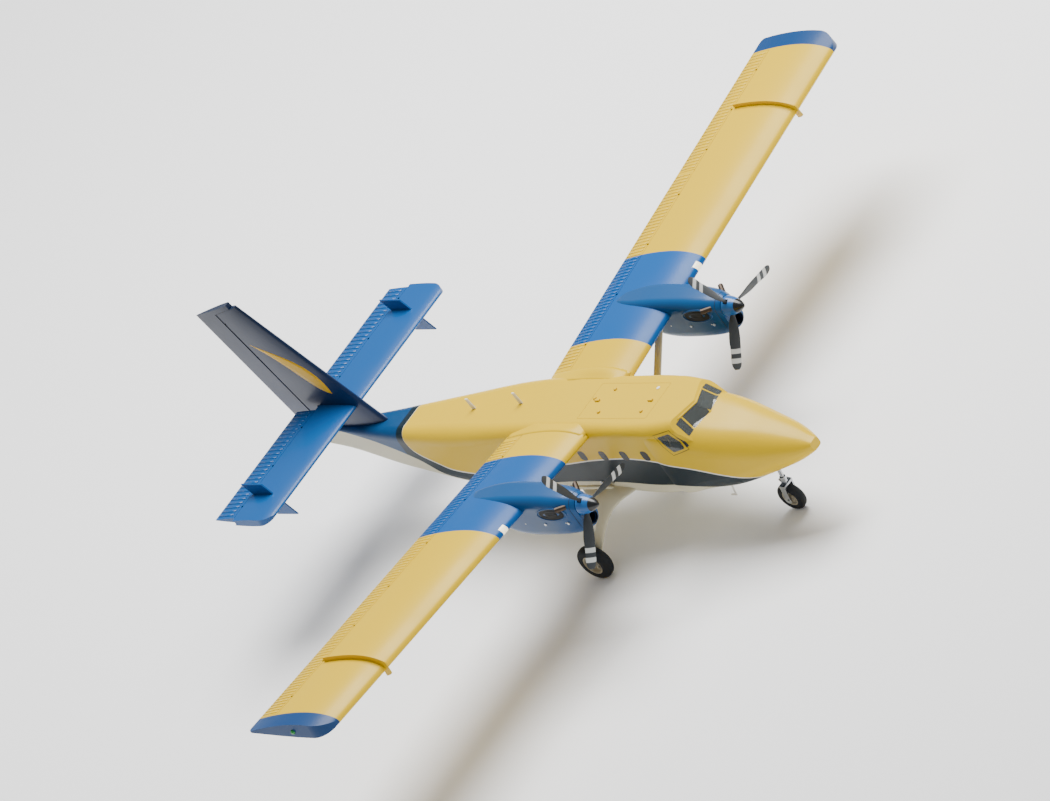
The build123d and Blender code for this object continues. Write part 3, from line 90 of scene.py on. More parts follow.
def calc(tree, operation, *values):
    """One step of arithmetic on shader values."""
    inputs = dict(enumerate(values))
    return add(tree, "ShaderNodeMath", inputs, operation=operation).outputs[0]


def mix(tree, amount, under, over, mode="MIX"):
    """Lays one colour over another by amount."""
    inputs = {0: amount, 6: under, 7: over}
    settings = {"data_type": "RGBA", "blend_type": mode}
    return add(tree, "ShaderNodeMix", inputs, **settings).outputs[2]


def spread(tree, value, low, high, least=0.0, most=1.0):
    """A value that runs from least to most while value runs from low to high."""
    inputs = {0: value, 1: low, 2: high, 3: least, 4: most}
    return add(tree, "ShaderNodeMapRange", inputs).outputs[0]


def above(tree, value, edge, blur=0.3 * MM):
    """1 where value is above edge and 0 below it, with a crisp but not jagged edge."""
    return spread(tree, calc(tree, "SUBTRACT", value, edge), -blur, blur)


def below(tree, value, edge, blur=0.3 * MM):
    """1 where value is below edge and 0 above it."""
    return calc(tree, "SUBTRACT", 1.0, above(tree, value, edge, blur))


def between(tree, value, low, high, blur=0.3 * MM):
    """1 where value lies between low and high."""
    over = above(tree, value, low, blur)
    return calc(tree, "MULTIPLY", over, below(tree, value, high, blur))


LINE_SPAN = 1000.0
LINE_HEIGHT = 400.0


def line_over(tree, along, points):
    """A height that follows a masked paint line through points, in mm, as it runs along X."""
    half = LINE_SPAN / 2
    share = spread(tree, along, -half * MM, half * MM)
    curve_node = add(tree, "ShaderNodeFloatCurve", {1: share})
    curve = curve_node.mapping.curves[0]
    places = [((x + half) / LINE_SPAN, z / LINE_HEIGHT) for x, z in sorted(points)]
    curve.points[0].location = places[0]
    curve.points[1].location = places[-1]
    for place in places[1:-1]:
        curve.points.new(*place)
    curve_node.mapping.update()
    return calc(tree, "MULTIPLY", curve_node.outputs[0], LINE_HEIGHT * MM)


CLOUD_SCALE = 14.0
GRAIN_RELIEF = 0.35
BEAD_RELIEF = 0.8
GLOSS_SWING = 0.06
COAT_ROUGHNESS = 0.2
PAINT_SPECULAR = 0.22


def material(name, colour, rough=0.42, metal=0.0, coat=0.0, mottle=0.08, beads=0.0, depth=0.1,
             grain=900.0, stretch=(1, 1, 1), paint=None, relief=None, settings=None):
    """A finish: base colour, painted areas, soft mottling, surface relief and uneven gloss."""
    made = bpy.data.materials.new(name)
    made.use_nodes = True
    tree = made.node_tree
    shader = tree.nodes["Principled BSDF"]
    place = add(tree, "ShaderNodeTexCoord").outputs["Object"]
    axes = add(tree, "ShaderNodeSeparateXYZ", {0: place})
    tint = add(tree, "ShaderNodeRGB")
    tint.outputs[0].default_value = linear(colour)
    tone = tint.outputs[0]
    if paint:
        tone = paint(tree, axes, tone)

    cloud_inputs = {"Vector": place, "Scale": CLOUD_SCALE, "Detail": 5.0}
    cloud = add(tree, "ShaderNodeTexNoise", cloud_inputs).outputs[0]
    shadow = calc(tree, "MULTIPLY", cloud, mottle)
    dark = mix(tree, shadow, tone, linear(GRIME), "MULTIPLY")
    tree.links.new(dark, shader.inputs["Base Color"])

    pulled = add(tree, "ShaderNodeMapping", {"Vector": place, "Scale": stretch}).outputs[0]
    fine_inputs = {"Vector": pulled, "Scale": grain, "Detail": 3.0}
    fine = add(tree, "ShaderNodeTexNoise", fine_inputs).outputs[0]
    height = calc(tree, "MULTIPLY", fine, GRAIN_RELIEF)
    if beads:
        cell_inputs = {"Vector": place, "Scale": 1 / beads}
        cell = add(tree, "ShaderNodeTexVoronoi", cell_inputs, feature="SMOOTH_F1")
        height = calc(tree, "ADD", height, calc(tree, "MULTIPLY", cell.outputs[0], BEAD_RELIEF))
    if relief:
        height = calc(tree, "ADD", height, relief(tree, axes))
    bump_inputs = {"Strength": depth, "Distance": 0.3 * MM, "Height": height}
    bump = add(tree, "ShaderNodeBump", bump_inputs).outputs[0]
    tree.links.new(bump, shader.inputs["Normal"])

    gloss = spread(tree, cloud, 0.3, 0.7, rough - GLOSS_SWING, rough + GLOSS_SWING)
    tree.links.new(gloss, shader.inputs["Roughness"])
    shader.inputs["Metallic"].default_value = metal
    shader.inputs["Coat Weight"].default_value = coat
    shader.inputs["Coat Roughness"].default_value = COAT_ROUGHNESS
    if not metal:
        shader.inputs["Specular IOR Level"].default_value = PAINT_SPECULAR
    for socket, value in (settings or {}).items():
        shader.inputs[socket].default_value = value
    return made


def dress(finish, *names):
    """Gives a finish to CAD nodes."""
    for name in names:
        mesh = CAD[name].data
        mesh.materials.clear()
        mesh.materials.append(finish)


def piece(name, bm, finish, body):
    """Turns a bmesh into a finished piece of the object that rides on a body."""
    bmesh.ops.recalc_face_normals(bm, faces=bm.faces)
    mesh = bpy.data.meshes.new(name)
    bm.to_mesh(mesh)
    bm.free()
    for face in mesh.polygons:
        face.use_smooth = True
    mesh.materials.append(finish)
    made = bpy.data.objects.new(name, mesh)
    bpy.context.scene.collection.objects.link(made)
    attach(made, body)


def skin_tree(*names):
    """A search tree over the faces of CAD nodes, for laying trim on them."""
    corners = []
    faces = []
    for name in names:
        mesh = CAD[name].data
        start = len(corners)
        corners += [v.co.copy() for v in mesh.vertices]
        faces += [[start + i for i in face.vertices] for face in mesh.polygons]
    return BVHTree.FromPolygons(corners, faces)


def touch(tree, point, toward):
    """Where a line from point, going toward, first meets the skin, and the skin's normal there."""
    place, normal, _, _ = tree.ray_cast(Vector(point), Vector(toward))
    if place is None:
        return None
    if normal.dot(Vector(toward)) > 0:
        normal = -normal
    return place, normal


def ring(bm, points):
    """A closed loop of edges through points."""
    corners = [bm.verts.new(p) for p in points]
    return [bm.edges.new((corners[i - 1], corners[i])) for i in range(len(corners))]


# A bead's cross-section, as shares of its half width and of its rise. Its two ends sink into the skin.
BEAD_CROWN = ((-0.9, 0.6), (-0.35, 1.0), (0.35, 1.0), (0.9, 0.6))
BEAD_SINK = 0.3 * MM


def bead_along(bm, tree, starts, toward, width, rise, closed=False):
    """Lays one raised bead on a skin, under a row of start points."""
    hits = [touch(tree, start, toward) for start in starts]
    hits = [hit for hit in hits if hit]
    if len(hits) < 2:
        return
    loops = []
    count = len(hits)
    for i, (place, normal) in enumerate(hits):
        ahead = hits[(i + 1) % count][0] if closed or i + 1 < count else place
        behind = hits[i - 1][0] if closed or i > 0 else place
        side = normal.cross((ahead - behind).normalized()).normalized() * width / 2
        sink = -normal * BEAD_SINK
        section = [place - side + sink]
        section += [place + side * across + normal * rise * up for across, up in BEAD_CROWN]
        section.append(place + side + sink)
        loops.append(ring(bm, section))
    for i in range(count - 1):
        bmesh.ops.bridge_loops(bm, edges=loops[i] + loops[i + 1])
    if closed:
        bmesh.ops.bridge_loops(bm, edges=loops[-1] + loops[0])
    else:
        bmesh.ops.contextual_create(bm, geom=loops[0])
        bmesh.ops.contextual_create(bm, geom=loops[-1])


def patch_on(bm, rows, thick):
    """A thin sheet through rows of points, given its thickness downwards."""
    corners = [[bm.verts.new(p) for p in row] for row in rows]
    faces = []
    for i in range(len(rows) - 1):
        for j in range(len(rows[0]) - 1):
            square = (corners[i][j], corners[i + 1][j], corners[i + 1][j + 1], corners[i][j + 1])
            faces.append(bm.faces.new(square))
    bmesh.ops.recalc_face_normals(bm, faces=faces)
    bmesh.ops.solidify(bm, geom=faces, thickness=thick)


RIM_SOFT = 0.25


def stud(bm, place, axis, radius, height, sides=16):
    """A short round boss standing on place along axis, with a softened rim."""
    turn = Vector(axis).to_track_quat("Z", "Y").to_matrix().to_4x4()
    where = Matrix.Translation(Vector(place)) @ turn @ Matrix.Translation((0, 0, height / 2))
    made = bmesh.ops.create_cone(bm, cap_ends=True, segments=sides, radius1=radius, radius2=radius,
                                 depth=height, matrix=where)
    far = Vector(place) + Vector(axis).normalized() * height
    rim = set()
    for corner in made["verts"]:
        if (corner.co - far).dot(Vector(axis)) > -height * 0.2:
            rim |= {e for e in corner.link_edges if e.other_vert(corner) in made["verts"]}
    rim = [e for e in rim if all((v.co - far).dot(Vector(axis)) > -height * 0.2 for v in e.verts)]
    bmesh.ops.bevel(bm, geom=rim, offset=min(radius, height) * RIM_SOFT, segments=2, profile=0.5,
                    affect="EDGES", material=-1)


def stud_on(bm, tree, start, toward, sink, radius, height, sides=16):
    """A boss standing on the skin where a line from start meets it, sunk in a little."""
    hit = touch(tree, start, toward)
    if hit:
        place, normal = hit
        stud(bm, place - normal * sink, normal, radius, height, sides)


def circle(steps):
    """Cosine and sine of even steps round a circle."""
    turns = [2 * math.pi * i / steps for i in range(steps)]
    return [(math.cos(turn), math.sin(turn)) for turn in turns]


# ---------------------------------------------------------------- Fuselage
# The fuselage is two moulded foam halves, glued along the middle and painted in three colours.
# A yellow top sweeps down over the nose, a dark blue band runs along the side and round the tail,
# and the belly is cream. A fine white line is masked between yellow and blue.
SIDE_TOP = [(-500, 399), (-284, 300), (-269, 196), (-221, 164.5), (-212, 132), (-177, 115), (-142, 105),
            (85, 127), (147, 134), (218, 135.5), (280, 123), (335, 107), (385, 88), (425, 60), (500, 30)]
SIDE_LOW = [(-500, 165), (-323, 141), (-273, 132), (-216, 116), (-159, 91), (95, 97), (167.5, 95.5),
            (217, 92), (285, 89), (325, 76), (350, 55), (500, 10)]
STRIPE_HALF = 0.9 * MM
TAIL_BLUE_X = -0.232
TAIL_BLUE_SHARE = 0.75
FOAM_BEAD = 3.4 * MM


def livery(tree, axes, tone):
    top = line_over(tree, axes.outputs[0], SIDE_TOP)
    low = line_over(tree, axes.outputs[0], SIDE_LOW)
    under_top = below(tree, axes.outputs[2], top)
    tone = mix(tree, under_top, tone, linear(NAVY))
    offset = calc(tree, "ABSOLUTE", calc(tree, "SUBTRACT", axes.outputs[2], top))
    tone = mix(tree, below(tree, offset, STRIPE_HALF), tone, linear(PALE))
    tail = below(tree, axes.outputs[0], TAIL_BLUE_X)
    blue_tail = calc(tree, "MULTIPLY", tail, under_top)
    tone = mix(tree, calc(tree, "MULTIPLY", blue_tail, TAIL_BLUE_SHARE), tone, linear(ROYAL))
    return mix(tree, below(tree, axes.outputs[2], low), tone, linear(CREAM))


body_paint = material("fuselage_paint", YELLOW, rough=0.4, coat=0.08, beads=FOAM_BEAD, depth=0.12,
                      paint=livery)
dress(body_paint, *SHELLS, "roof_hatch")
body_skin = skin_tree(*SHELLS)
cream_paint = material("cream_paint", CREAM, rough=0.42, coat=0.12, beads=3.0 * MM, depth=0.1)
dress(cream_paint, "wing_struts", "main_gear_legs", "hinge_brackets")
pale_plastic = material("pale_plastic", PALE, rough=0.38, grain=1400, depth=0.08)
dress(pale_plastic, "aerials", "servo_arm_left", "servo_arm_right")
seam_ink = material("seam_ink", "2B2A26", rough=0.6, grain=2000, depth=0.1)

# The cockpit door is pressed into the foam round its window as a shallow inked seam on each side.
# Its corners are given in mm along X and Z.
DOOR = [(276.0, 174.5), (303.0, 177.5), (321.0, 149.0), (291.0, 142.0)]
DOOR_STEPS = 12
OUTSIDE_BODY = 0.12
bm = bmesh.new()
for side in SIDES:
    starts = []
    for i in range(len(DOOR)):
        (x0, z0), (x1, z1) = DOOR[i - 1], DOOR[i]
        for step in range(DOOR_STEPS):
            share = step / DOOR_STEPS
            x = x0 + (x1 - x0) * share
            z = z0 + (z1 - z0) * share
            starts.append((x * MM, side * OUTSIDE_BODY, z * MM))
    bead_along(bm, body_skin, starts, (0, -side, 0), width=0.8 * MM, rise=0.1 * MM, closed=True)
piece("door_seams", bm, seam_ink, "airframe")


# ---------------------------------------------------------------- Glazing
# The cockpit glazing is thin tinted plastic, formed in one piece and glued to the foam.
# The cabin windows are dark gloss inserts with rounded corners.
tinted = material("tinted_glazing", "8E9694", rough=0.12, coat=0.2, mottle=0.1, depth=0.02,
                  settings={"Transmission Weight": 0.8, "IOR": 1.45})
dress(tinted, "windshield", "cockpit_side_windows")
cabin_glass = material("cabin_glass", "0B0E10", rough=0.3, coat=0.1, mottle=0.2, depth=0.03)
dress(cabin_glass, "cabin_windows")
cockpit_trim = material("cockpit_trim", "3A3630", rough=0.7, grain=700, depth=0.3)
dress(cockpit_trim, "cockpit_interior")

# A raised yellow rim is moulded round the roof edge of the windscreen, over the heads of the panes.
RIM_Z = 0.1825
RIM_DROOP = 0.02
AHEAD = 0.4
bm = bmesh.new()
nose_skin = skin_tree(*SHELLS, "windshield")
starts = [(AHEAD, y * MM, RIM_Z - abs(y) * RIM_DROOP * MM) for y in range(-30, 31, 3)]
bead_along(bm, nose_skin, starts, (-1, 0, 0), width=2.0 * MM, rise=0.5 * MM)
post_paint = material("post_paint", YELLOW, rough=0.4, coat=0.08, beads=FOAM_BEAD, depth=0.1)
piece("windscreen_rim", bm, post_paint, "airframe")


# ---------------------------------------------------------------- Roof hatch
# The hatch lifts off over the battery. Four moulded yellow lugs and a flat round white plug stand
# on it. The lugs' places are given in mm along X and Y.
LUGS = ((139, 4), (164, 20), (164, -20), (240, -19))
PLUG_TOP = (0.240, 0.022, OVERHEAD)
bm = bmesh.new()
hatch_skin = skin_tree("roof_hatch")
for x, y in LUGS:
    start = (x * MM, y * MM, OVERHEAD)
    stud_on(bm, hatch_skin, start, DOWN, sink=0.4 * MM, radius=2.4 * MM, height=2.4 * MM)
piece("hatch_lugs", bm, post_paint, "hatch")
bm = bmesh.new()
stud_on(bm, hatch_skin, PLUG_TOP, DOWN, sink=0.3 * MM, radius=2.6 * MM, height=1.0 * MM)
piece("hatch_plug", bm, pale_plastic, "hatch")


# ---------------------------------------------------------------- Wing
# The wing halves are moulded foam, yellow with a wide blue band round each engine.
# The moulded tip caps are a darker blue.
BAND_INNER_Y = 0.102
BAND_OUTER_Y = 0.245
TIP_Y = 0.5856


def wing_livery(tree, axes, tone):
    out = calc(tree, "ABSOLUTE", axes.outputs[1])
    tone = mix(tree, between(tree, out, BAND_INNER_Y, BAND_OUTER_Y), tone, linear(WING_BLUE))
    return mix(tree, above(tree, out, TIP_Y), tone, linear(TIP_BLUE))


wing_paint = material("wing_paint", YELLOW, rough=0.4, coat=0.05, beads=FOAM_BEAD, depth=0.12,
                      paint=wing_livery)
dress(wing_paint, "wing_left", "wing_right", "wing_tips", "wing_fences")
dress(wing_paint, "aileron_left", "aileron_right", "flap_left", "flap_right")

# A foam fairing carries the wing's upper surface inboard and down on to the roof on each side.
# Its section is given as places in mm along Y, each with its share of the wing's height over the roof.
FAIRING_SECTION = ((57.0, 1.0), (53.0, 0.985), (49.0, 0.86), (45.0, 0.55), (41.0, 0.2), (37.0, 0.0))
FAIRING_BACK = 0.0165
FAIRING_LENGTH = 0.1425
FAIRING_STEPS = 24
WING_ROOT_Y = 0.0565
ROOF_Z = 0.1850
bm = bmesh.new()
wing_skin = skin_tree("wing_left", "wing_right")
for side in SIDES:
    rows = []
    for i in range(FAIRING_STEPS + 1):
        x = FAIRING_BACK + FAIRING_LENGTH * i / FAIRING_STEPS
        top = touch(wing_skin, (x, side * WING_ROOT_Y, OVERHEAD), DOWN)
        if not top:
            continue
        crest = top[0].z + 0.2 * MM
        row = []
        for y, share in FAIRING_SECTION:
            z = ROOF_Z + (crest - ROOF_Z) * share if crest > ROOF_Z else crest
            row.append((x, side * y * MM, z))
        rows.append(row)
    patch_on(bm, rows, 0.8 * MM)
piece("root_fairings", bm, wing_paint, "airframe")

# The flaps, ailerons and elevator are stiffened by moulded chordwise ribs, top and bottom.
WING_RIB_PITCH = 5.7 * MM
TAIL_RIB_PITCH = 7.3 * MM
RIB_WIDTH_SHARE = 0.55
RIB_RISE = 0.7 * MM
RIB_END_MARGIN = 4 * MM
RIB_FRONT_GAP = 9 * MM
RIB_BACK_GAP = 2.5 * MM
OUTSIDE_RIBS = 20 * MM


def control_ribs(node, body, pitch, finish):
    """Ribs over one control surface, laid top and bottom from near the hinge to the edge."""
    surface = skin_tree(node)
    low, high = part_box(node)
    made = bmesh.new()
    count = int((high.y - low.y - RIB_END_MARGIN) / pitch)
    inset = (high.y - low.y - (count - 1) * pitch) / 2
    for i in range(count):
        y = low.y + inset + i * pitch
        xs = [high.x - RIB_FRONT_GAP, (high.x + low.x) / 2, low.x + RIB_BACK_GAP]
        for toward in (-1, 1):
            height = high.z + OUTSIDE_RIBS if toward < 0 else low.z - OUTSIDE_RIBS
            starts = [(x, y, height) for x in xs]
            bead_along(made, surface, starts, (0, 0, toward), pitch * RIB_WIDTH_SHARE, RIB_RISE)
    piece(node + "_ribs", made, finish, body)


for node in ("aileron_left", "aileron_right", "flap_left", "flap_right"):
    control_ribs(node, node, WING_RIB_PITCH, wing_paint)

# Clear landing lights sit in the leading edge, with red and green lights at the wing tips.
clear_lens = material("clear_lens", "FFF6DC", rough=0.1, coat=0.6, depth=0.02,
                      settings={"Emission Color": linear("FFF4D0"), "Emission Strength": 1.2})
dress(clear_lens, "landing_lights")
dress(material("red_lens", "B3161B", rough=0.15, coat=0.6, depth=0.03), "nav_light_red")
dress(material("green_lens", "1E8F3C", rough=0.15, coat=0.6, depth=0.03), "nav_light_green")


# ---------------------------------------------------------------- Nacelles
# Each nacelle is a blue moulding under the wing with a removable lower cowl.
# Painted shade darkens both flanks of each cowl over a short band of its length.
FLANK_SHADE_BACK_X = 0.150
FLANK_SHADE_FRONT_X = 0.215
FLANK_SHADE_SHARE = 0.45


# Painted shade: darkens both flanks of the cowl over a band along X.
def nacelle_flank_shade(tree, axes, tone):
    out = calc(tree, "SUBTRACT", calc(tree, "ABSOLUTE", axes.outputs[1]), ENGINE_Y)
    shade_span = between(tree, axes.outputs[0], FLANK_SHADE_BACK_X, FLANK_SHADE_FRONT_X, 26 * MM)
    flank = above(tree, calc(tree, "ABSOLUTE", out), 20 * MM, 7 * MM)
    painted_shade = calc(tree, "MULTIPLY", calc(tree, "MULTIPLY", shade_span, flank), FLANK_SHADE_SHARE)
    return mix(tree, painted_shade, tone, linear(NACELLE_FLANK_SHADE))


cowl_paint = material("cowl_paint", "00487F", rough=0.36, coat=0.25, beads=3.2 * MM, depth=0.1,
                      paint=nacelle_flank_shade)
dress(cowl_paint, *NACELLES)
intake_black = material("intake_black", INK, rough=0.55, grain=1200, depth=0.2)
dress(intake_black, "intake_lips")
burnt_steel = material("burnt_steel", "4A4038", rough=0.45, metal=0.9, grain=600, depth=0.15)
dress(burnt_steel, "exhaust_stubs")

# An oval air inlet with a rolled lip is set in each side of each nacelle. Black rings laid over its
# mouth are painted shade standing in for the depth of the opening. Each ring is given as its share of
# the oval, then its bead's width and rise in mm.
LIP_RING = (1.0, 2.2, 0.9)
MOUTH_SHADE_RINGS = ((0.72, 6.5, 0.25), (0.3, 7.0, 0.25))
INLET_X = 0.2075
INLET_Z = 0.181
INLET_HALF_LONG = 24 * MM
INLET_HALF_HIGH = 9.5 * MM
OUTSIDE_NACELLE = 0.10
mouth_shade_bm = bmesh.new()
lip_bm = bmesh.new()
nacelle_skin = skin_tree(*NACELLES)


def inlet_ring(made, side, flank, scale, width, rise):
    """One oval bead on a nacelle's flank."""
    y = side * ENGINE_Y + flank * OUTSIDE_NACELLE
    half_long, half_high = INLET_HALF_LONG * scale, INLET_HALF_HIGH * scale
    starts = [(INLET_X + half_long * c, y, INLET_Z + half_high * s) for c, s in circle(36)]
    bead_along(made, nacelle_skin, starts, (0, -flank, 0), width * MM, rise * MM, closed=True)


for side in SIDES:
    for flank in SIDES:
        inlet_ring(lip_bm, side, flank, *LIP_RING)
        for mouth_shade_ring in MOUTH_SHADE_RINGS:
            inlet_ring(mouth_shade_bm, side, flank, *mouth_shade_ring)
# The black mouths are painted shade in place of the opening's depth.
piece("side_inlet_mouth_shade", mouth_shade_bm, intake_black, "airframe")
piece("side_inlet_lips", lip_bm, cowl_paint, "airframe")

# A thin dark seam line runs round each cowl just behind the spinner.
SEAM_X = 0.240
SEAM_Z = 0.170
bm = bmesh.new()
for side in SIDES:
    middle = Vector((SEAM_X, side * ENGINE_Y, SEAM_Z))
    across = Vector((0.4 * MM, 0, 0))
    loops = []
    for c, s in circle(56):
        out = Vector((0, c, s))
        hit = touch(nacelle_skin, middle + out * OUTSIDE_NACELLE, -out)
        if hit:
            place, normal = hit
            base = place - normal * 0.2 * MM
            top = place + normal * 0.12 * MM
            loops.append(ring(bm, [base - across, top - across, top + across, base + across]))
    for i in range(len(loops)):
        bmesh.ops.bridge_loops(bm, edges=loops[i - 1] + loops[i])
piece("cowl_seams", bm, seam_ink, "airframe")

# Small screws hold each lower cowl to the nacelle along its split line.
SPLIT_Z = 0.1655
SCREW_XS = (0.150, 0.185, 0.222)
bm = bmesh.new()
for side in SIDES:
    for flank in SIDES:
        for x in SCREW_XS:
            start = (x, side * ENGINE_Y + flank * OUTSIDE_NACELLE, SPLIT_Z)
            stud_on(bm, nacelle_skin, start, (0, -flank, 0), sink=0.2 * MM, radius=0.9 * MM,
                    height=0.5 * MM, sides=12)
steel = material("steel", "B9BCC0", rough=0.28, metal=1.0, grain=500, stretch=(1, 1, 8), depth=0.06)
piece("cowl_screws", bm, steel, "airframe")


# ---------------------------------------------------------------- Propellers
# Each propeller is three dark moulded blades on a hub, with two pale bands towards each blade tip.
# A blue spinner with a black nose covers the hub.
OUTER_BAND = (0.066, 0.072)
INNER_BAND = (0.054, 0.060)
SPINNER_TIP_X = 0.2642


def blade_bands(tree, axes, tone):
    side = calc(tree, "SUBTRACT", calc(tree, "ABSOLUTE", axes.outputs[1]), ENGINE_Y)
    rise = calc(tree, "SUBTRACT", axes.outputs[2], SHAFT_Z)
    squares = calc(tree, "ADD", calc(tree, "MULTIPLY", side, side), calc(tree, "MULTIPLY", rise, rise))
    radius = calc(tree, "SQRT", squares)
    for band in (OUTER_BAND, INNER_BAND):
        tone = mix(tree, between(tree, radius, *band), tone, linear(BAND_GREY))
    return tone


def spinner_tip(tree, axes, tone):
    return mix(tree, above(tree, axes.outputs[0], SPINNER_TIP_X), tone, linear(INK))


blade_finish = material("blade_plastic", "33373A", rough=0.4, grain=1100, depth=0.12, paint=blade_bands)
dress(blade_finish, "propeller_left", "propeller_right")
spinner_finish = material("spinner_paint", "1B5C9E", rough=0.26, coat=0.5, depth=0.04, paint=spinner_tip)
dress(spinner_finish, "spinner_left", "spinner_right")


# ---------------------------------------------------------------- Motors and power
# Inside, each motor is a turned can on a mounting plate, and the battery lies on a plywood tray.
# Carbon rods carry the wing, and the hinge wires, pushrods, axles and nose leg are bright steel.
motor_can = material("motor_can", "8C9196", rough=0.3, metal=1.0, grain=700, depth=0.08)
dress(motor_can, "motor_rotor_left", "motor_rotor_right")
windings = material("copper_windings", "A5622E", rough=0.35, metal=0.9, grain=2200, depth=0.3)
dress(windings, "motor_stators")
black_plastic = material("black_plastic", "1D1F22", rough=0.5, grain=1300, depth=0.15)
dress(black_plastic, "motor_mounts", "electronics", "nose_leg_block")
battery_wrap = material("battery_wrap", "23508C", rough=0.3, coat=0.3, grain=400, depth=0.12)
dress(battery_wrap, "battery_pack")
birch_ply = material("birch_ply", "C9A66B", rough=0.6, grain=500, stretch=(1, 12, 12), depth=0.2)
dress(birch_ply, "formers_and_tray")
lead_shot = material("lead_shot", "6B6E70", rough=0.5, metal=0.8, grain=500, depth=0.3)
dress(lead_shot, "nose_ballast")
carbon_rod = material("carbon_rod", "1A1B1D", rough=0.3, coat=0.4, stretch=(1, 6, 1), depth=0.15)
dress(carbon_rod, "wing_joiner_rods")
dress(steel, "hinge_wires", "pushrod_left", "pushrod_right", "screws", "main_gear_axles", "nose_leg")


# ---------------------------------------------------------------- Tail
# The tail is blue foam: a dark fin with its rudder, a stabilizer with one elevator and its small
# finlets. The fin's blue deepens towards its top.
FIN_FOOT_Z = 0.19
FIN_TOP_Z = 0.36
FIN_TOP_SHARE = 0.6


def fin_tone(tree, axes, tone):
    rise = spread(tree, axes.outputs[2], FIN_FOOT_Z, FIN_TOP_Z, most=FIN_TOP_SHARE)
    return mix(tree, rise, tone, linear(FIN_TOP))


tail_paint = material("tail_paint", "004C8C", rough=0.4, coat=0.18, beads=3.2 * MM, depth=0.12)
fin_paint = material("fin_paint", "04224A", rough=0.38, coat=0.22, beads=3.2 * MM, depth=0.12,
                     paint=fin_tone)
dress(tail_paint, "stabilizer", "elevator", "finlets")
dress(fin_paint, "tail_fin", "rudder")
control_ribs("elevator", "elevator", TAIL_RIB_PITCH, tail_paint)

# A plain swept yellow flash is painted on both sides of the fin. It bows forward from the line
# between its ends and is widest about a third of the way up.
FLASH_LOW = Vector((-0.325, 0, 0.207))
FLASH_HIGH = Vector((-0.415, 0, 0.292))
FLASH_BOW = 9 * MM
FLASH_END_HALF = 0.4 * MM
FLASH_SWELL = 10.5 * MM
FLASH_STEPS = 20
FLASH_COLUMNS = 5
OUTSIDE_FIN = 0.05
run = FLASH_HIGH - FLASH_LOW
broad = Vector((run.z, 0, -run.x)).normalized()
bm = bmesh.new()
fin_skin = skin_tree("tail_fin")
for side in SIDES:
    rows = []
    for i in range(FLASH_STEPS + 1):
        share = i / FLASH_STEPS
        middle = FLASH_LOW + run * share + broad * FLASH_BOW * math.sin(math.pi * share)
        half = FLASH_END_HALF + FLASH_SWELL * math.sin(math.pi * share ** 0.6) ** 1.4
        row = []
        for j in range(FLASH_COLUMNS):
            start = middle + broad * half * (j / 2 - 1) + Vector((0, side * OUTSIDE_FIN, 0))
            hit = touch(fin_skin, start, (0, -side, 0))
            if hit:
                row.append(hit[0] + hit[1] * 0.12 * MM)
        if len(row) == FLASH_COLUMNS:
            rows.append(row)
    patch_on(bm, rows, 0.3 * MM)
emblem_yellow = material("emblem_yellow", "E8B400", rough=0.42, coat=0.05, depth=0.06)
piece("fin_flash", bm, emblem_yellow, "airframe")


# ---------------------------------------------------------------- Wheels
# The tyres are solid rubber pressed on plastic hubs, with grooves round the tread.
TREAD_WAVE = 2400.0
TREAD_RELIEF = 0.3


def tread(tree, axes):
    wave = calc(tree, "MULTIPLY", axes.outputs[1], TREAD_WAVE)
    return calc(tree, "MULTIPLY", calc(tree, "SINE", wave), TREAD_RELIEF)


rubber = material("tyre_rubber", "23262A", rough=0.72, mottle=0.3, grain=1500, depth=0.35, relief=tread)
dress(rubber, "main_tyre_left", "main_tyre_right", "nose_tyre")
hub_finish = material("hub_plastic", "B7AF9C", rough=0.42, grain=1200, depth=0.12)
dress(hub_finish, "main_hub_left", "main_hub_right", "nose_hub")

# Five small bolt heads stand in a ring on both faces of each hub.
BOLTS = 5
BOLT_RING_SHARE = 0.30
FLAT_ENOUGH = 0.5
OUTSIDE_HUB = 0.05
HUB_BODIES = {"main_hub_left": "wheel_left", "main_hub_right": "wheel_right", "nose_hub": "nose_wheel"}
bolt_finish = material("bolt_metal", "8D857A", rough=0.35, metal=0.9, grain=700, depth=0.1)
for node, body in HUB_BODIES.items():
    low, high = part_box(node)
    centre = (low + high) / 2
    reach = (high.z - low.z) * BOLT_RING_SHARE
    hub_skin = skin_tree(node)
    bm = bmesh.new()
    for side in SIDES:
        for c, s in circle(BOLTS):
            start = centre + Vector((c * reach, side * OUTSIDE_HUB, s * reach))
            hit = touch(hub_skin, start, (0, -side, 0))
            if hit and abs(hit[1].y) > FLAT_ENOUGH:
                foot = hit[0] - hit[1] * 0.2 * MM
                stud(bm, foot, (0, side, 0), radius=0.9 * MM, height=0.8 * MM, sides=8)
    piece(node + "_bolts", bm, bolt_finish, body)


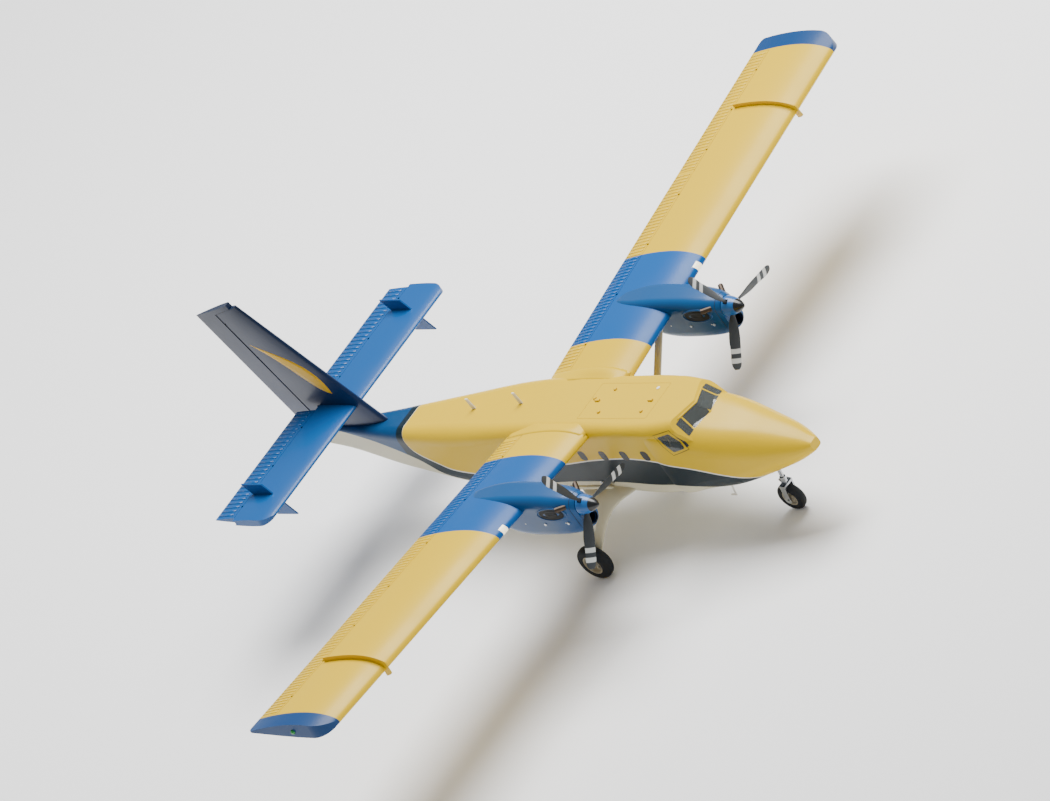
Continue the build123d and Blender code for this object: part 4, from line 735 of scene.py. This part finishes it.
# ---------------------------------------------------------------- Studio
# A pale seamless floor stands under one broad overhead light and a weak light from the front,
# with soft fill all round.
bm = bmesh.new()
bmesh.ops.create_grid(bm, x_segments=1, y_segments=1, size=6.0)
floor_mesh = bpy.data.meshes.new("floor")
bm.to_mesh(floor_mesh)
bm.free()
floor = bpy.data.objects.new("floor", floor_mesh)
bpy.context.scene.collection.objects.link(floor)
floor_mesh.materials.append(material("floor_paper", "FBFBFB", rough=0.9, mottle=0.01, depth=0.01))

world = bpy.data.worlds.new("studio")
bpy.context.scene.world = world
world.use_nodes = True
sky = world.node_tree.nodes["Background"]
sky.inputs["Color"].default_value = (1.0, 1.0, 1.0, 1.0)
sky.inputs["Strength"].default_value = 0.42


LIT_POINT = Vector((0.1, 0, 0.15))


def softbox(name, place, size, power):
    """A square area light at place, aimed at the front half of the aeroplane."""
    data = bpy.data.lights.new(name, "AREA")
    data.size = size
    data.energy = power
    lamp = bpy.data.objects.new(name, data)
    bpy.context.scene.collection.objects.link(lamp)
    lamp.location = place
    lamp.rotation_euler = (LIT_POINT - Vector(place)).to_track_quat("-Z", "Y").to_euler()


softbox("key_light", (-0.3, 1.4, 3.4), 2.6, 350)
softbox("front_light", (4.0, 0.8, 1.8), 1.6, 14)

# The camera looks down from ahead and to starboard, from far off through a long lens, and is rolled.
AZIMUTH = math.radians(57.0)
ELEVATION = math.radians(28.26)
ROLL = math.radians(36.4)
LENS = 474.8
DISTANCE = 17.09
SHIFT_RIGHT = -0.1072
SHIFT_UP = 0.0113
AIM = Vector((0.16075, 0, 0.170))
camera_data = bpy.data.cameras.new("camera")
camera = bpy.data.objects.new("camera", camera_data)
bpy.context.scene.collection.objects.link(camera)
bpy.context.scene.camera = camera
camera_data.sensor_fit = "HORIZONTAL"
camera_data.sensor_width = 36.0
camera_data.lens = LENS
camera_data.clip_end = 200.0
flat = math.cos(ELEVATION)
back = Vector((math.sin(AZIMUTH) * flat, -math.cos(AZIMUTH) * flat, math.sin(ELEVATION)))
level = Vector((math.cos(AZIMUTH), math.sin(AZIMUTH), 0))
upright = back.cross(level)
right = math.cos(ROLL) * level - math.sin(ROLL) * upright
up = math.sin(ROLL) * level + math.cos(ROLL) * upright
stand = AIM + DISTANCE * back + SHIFT_RIGHT * right + SHIFT_UP * up
camera.matrix_world = Matrix((
    (right.x, up.x, back.x, stand.x),
    (right.y, up.y, back.y, stand.y),
    (right.z, up.z, back.z, stand.z),
    (0, 0, 0, 1),
))
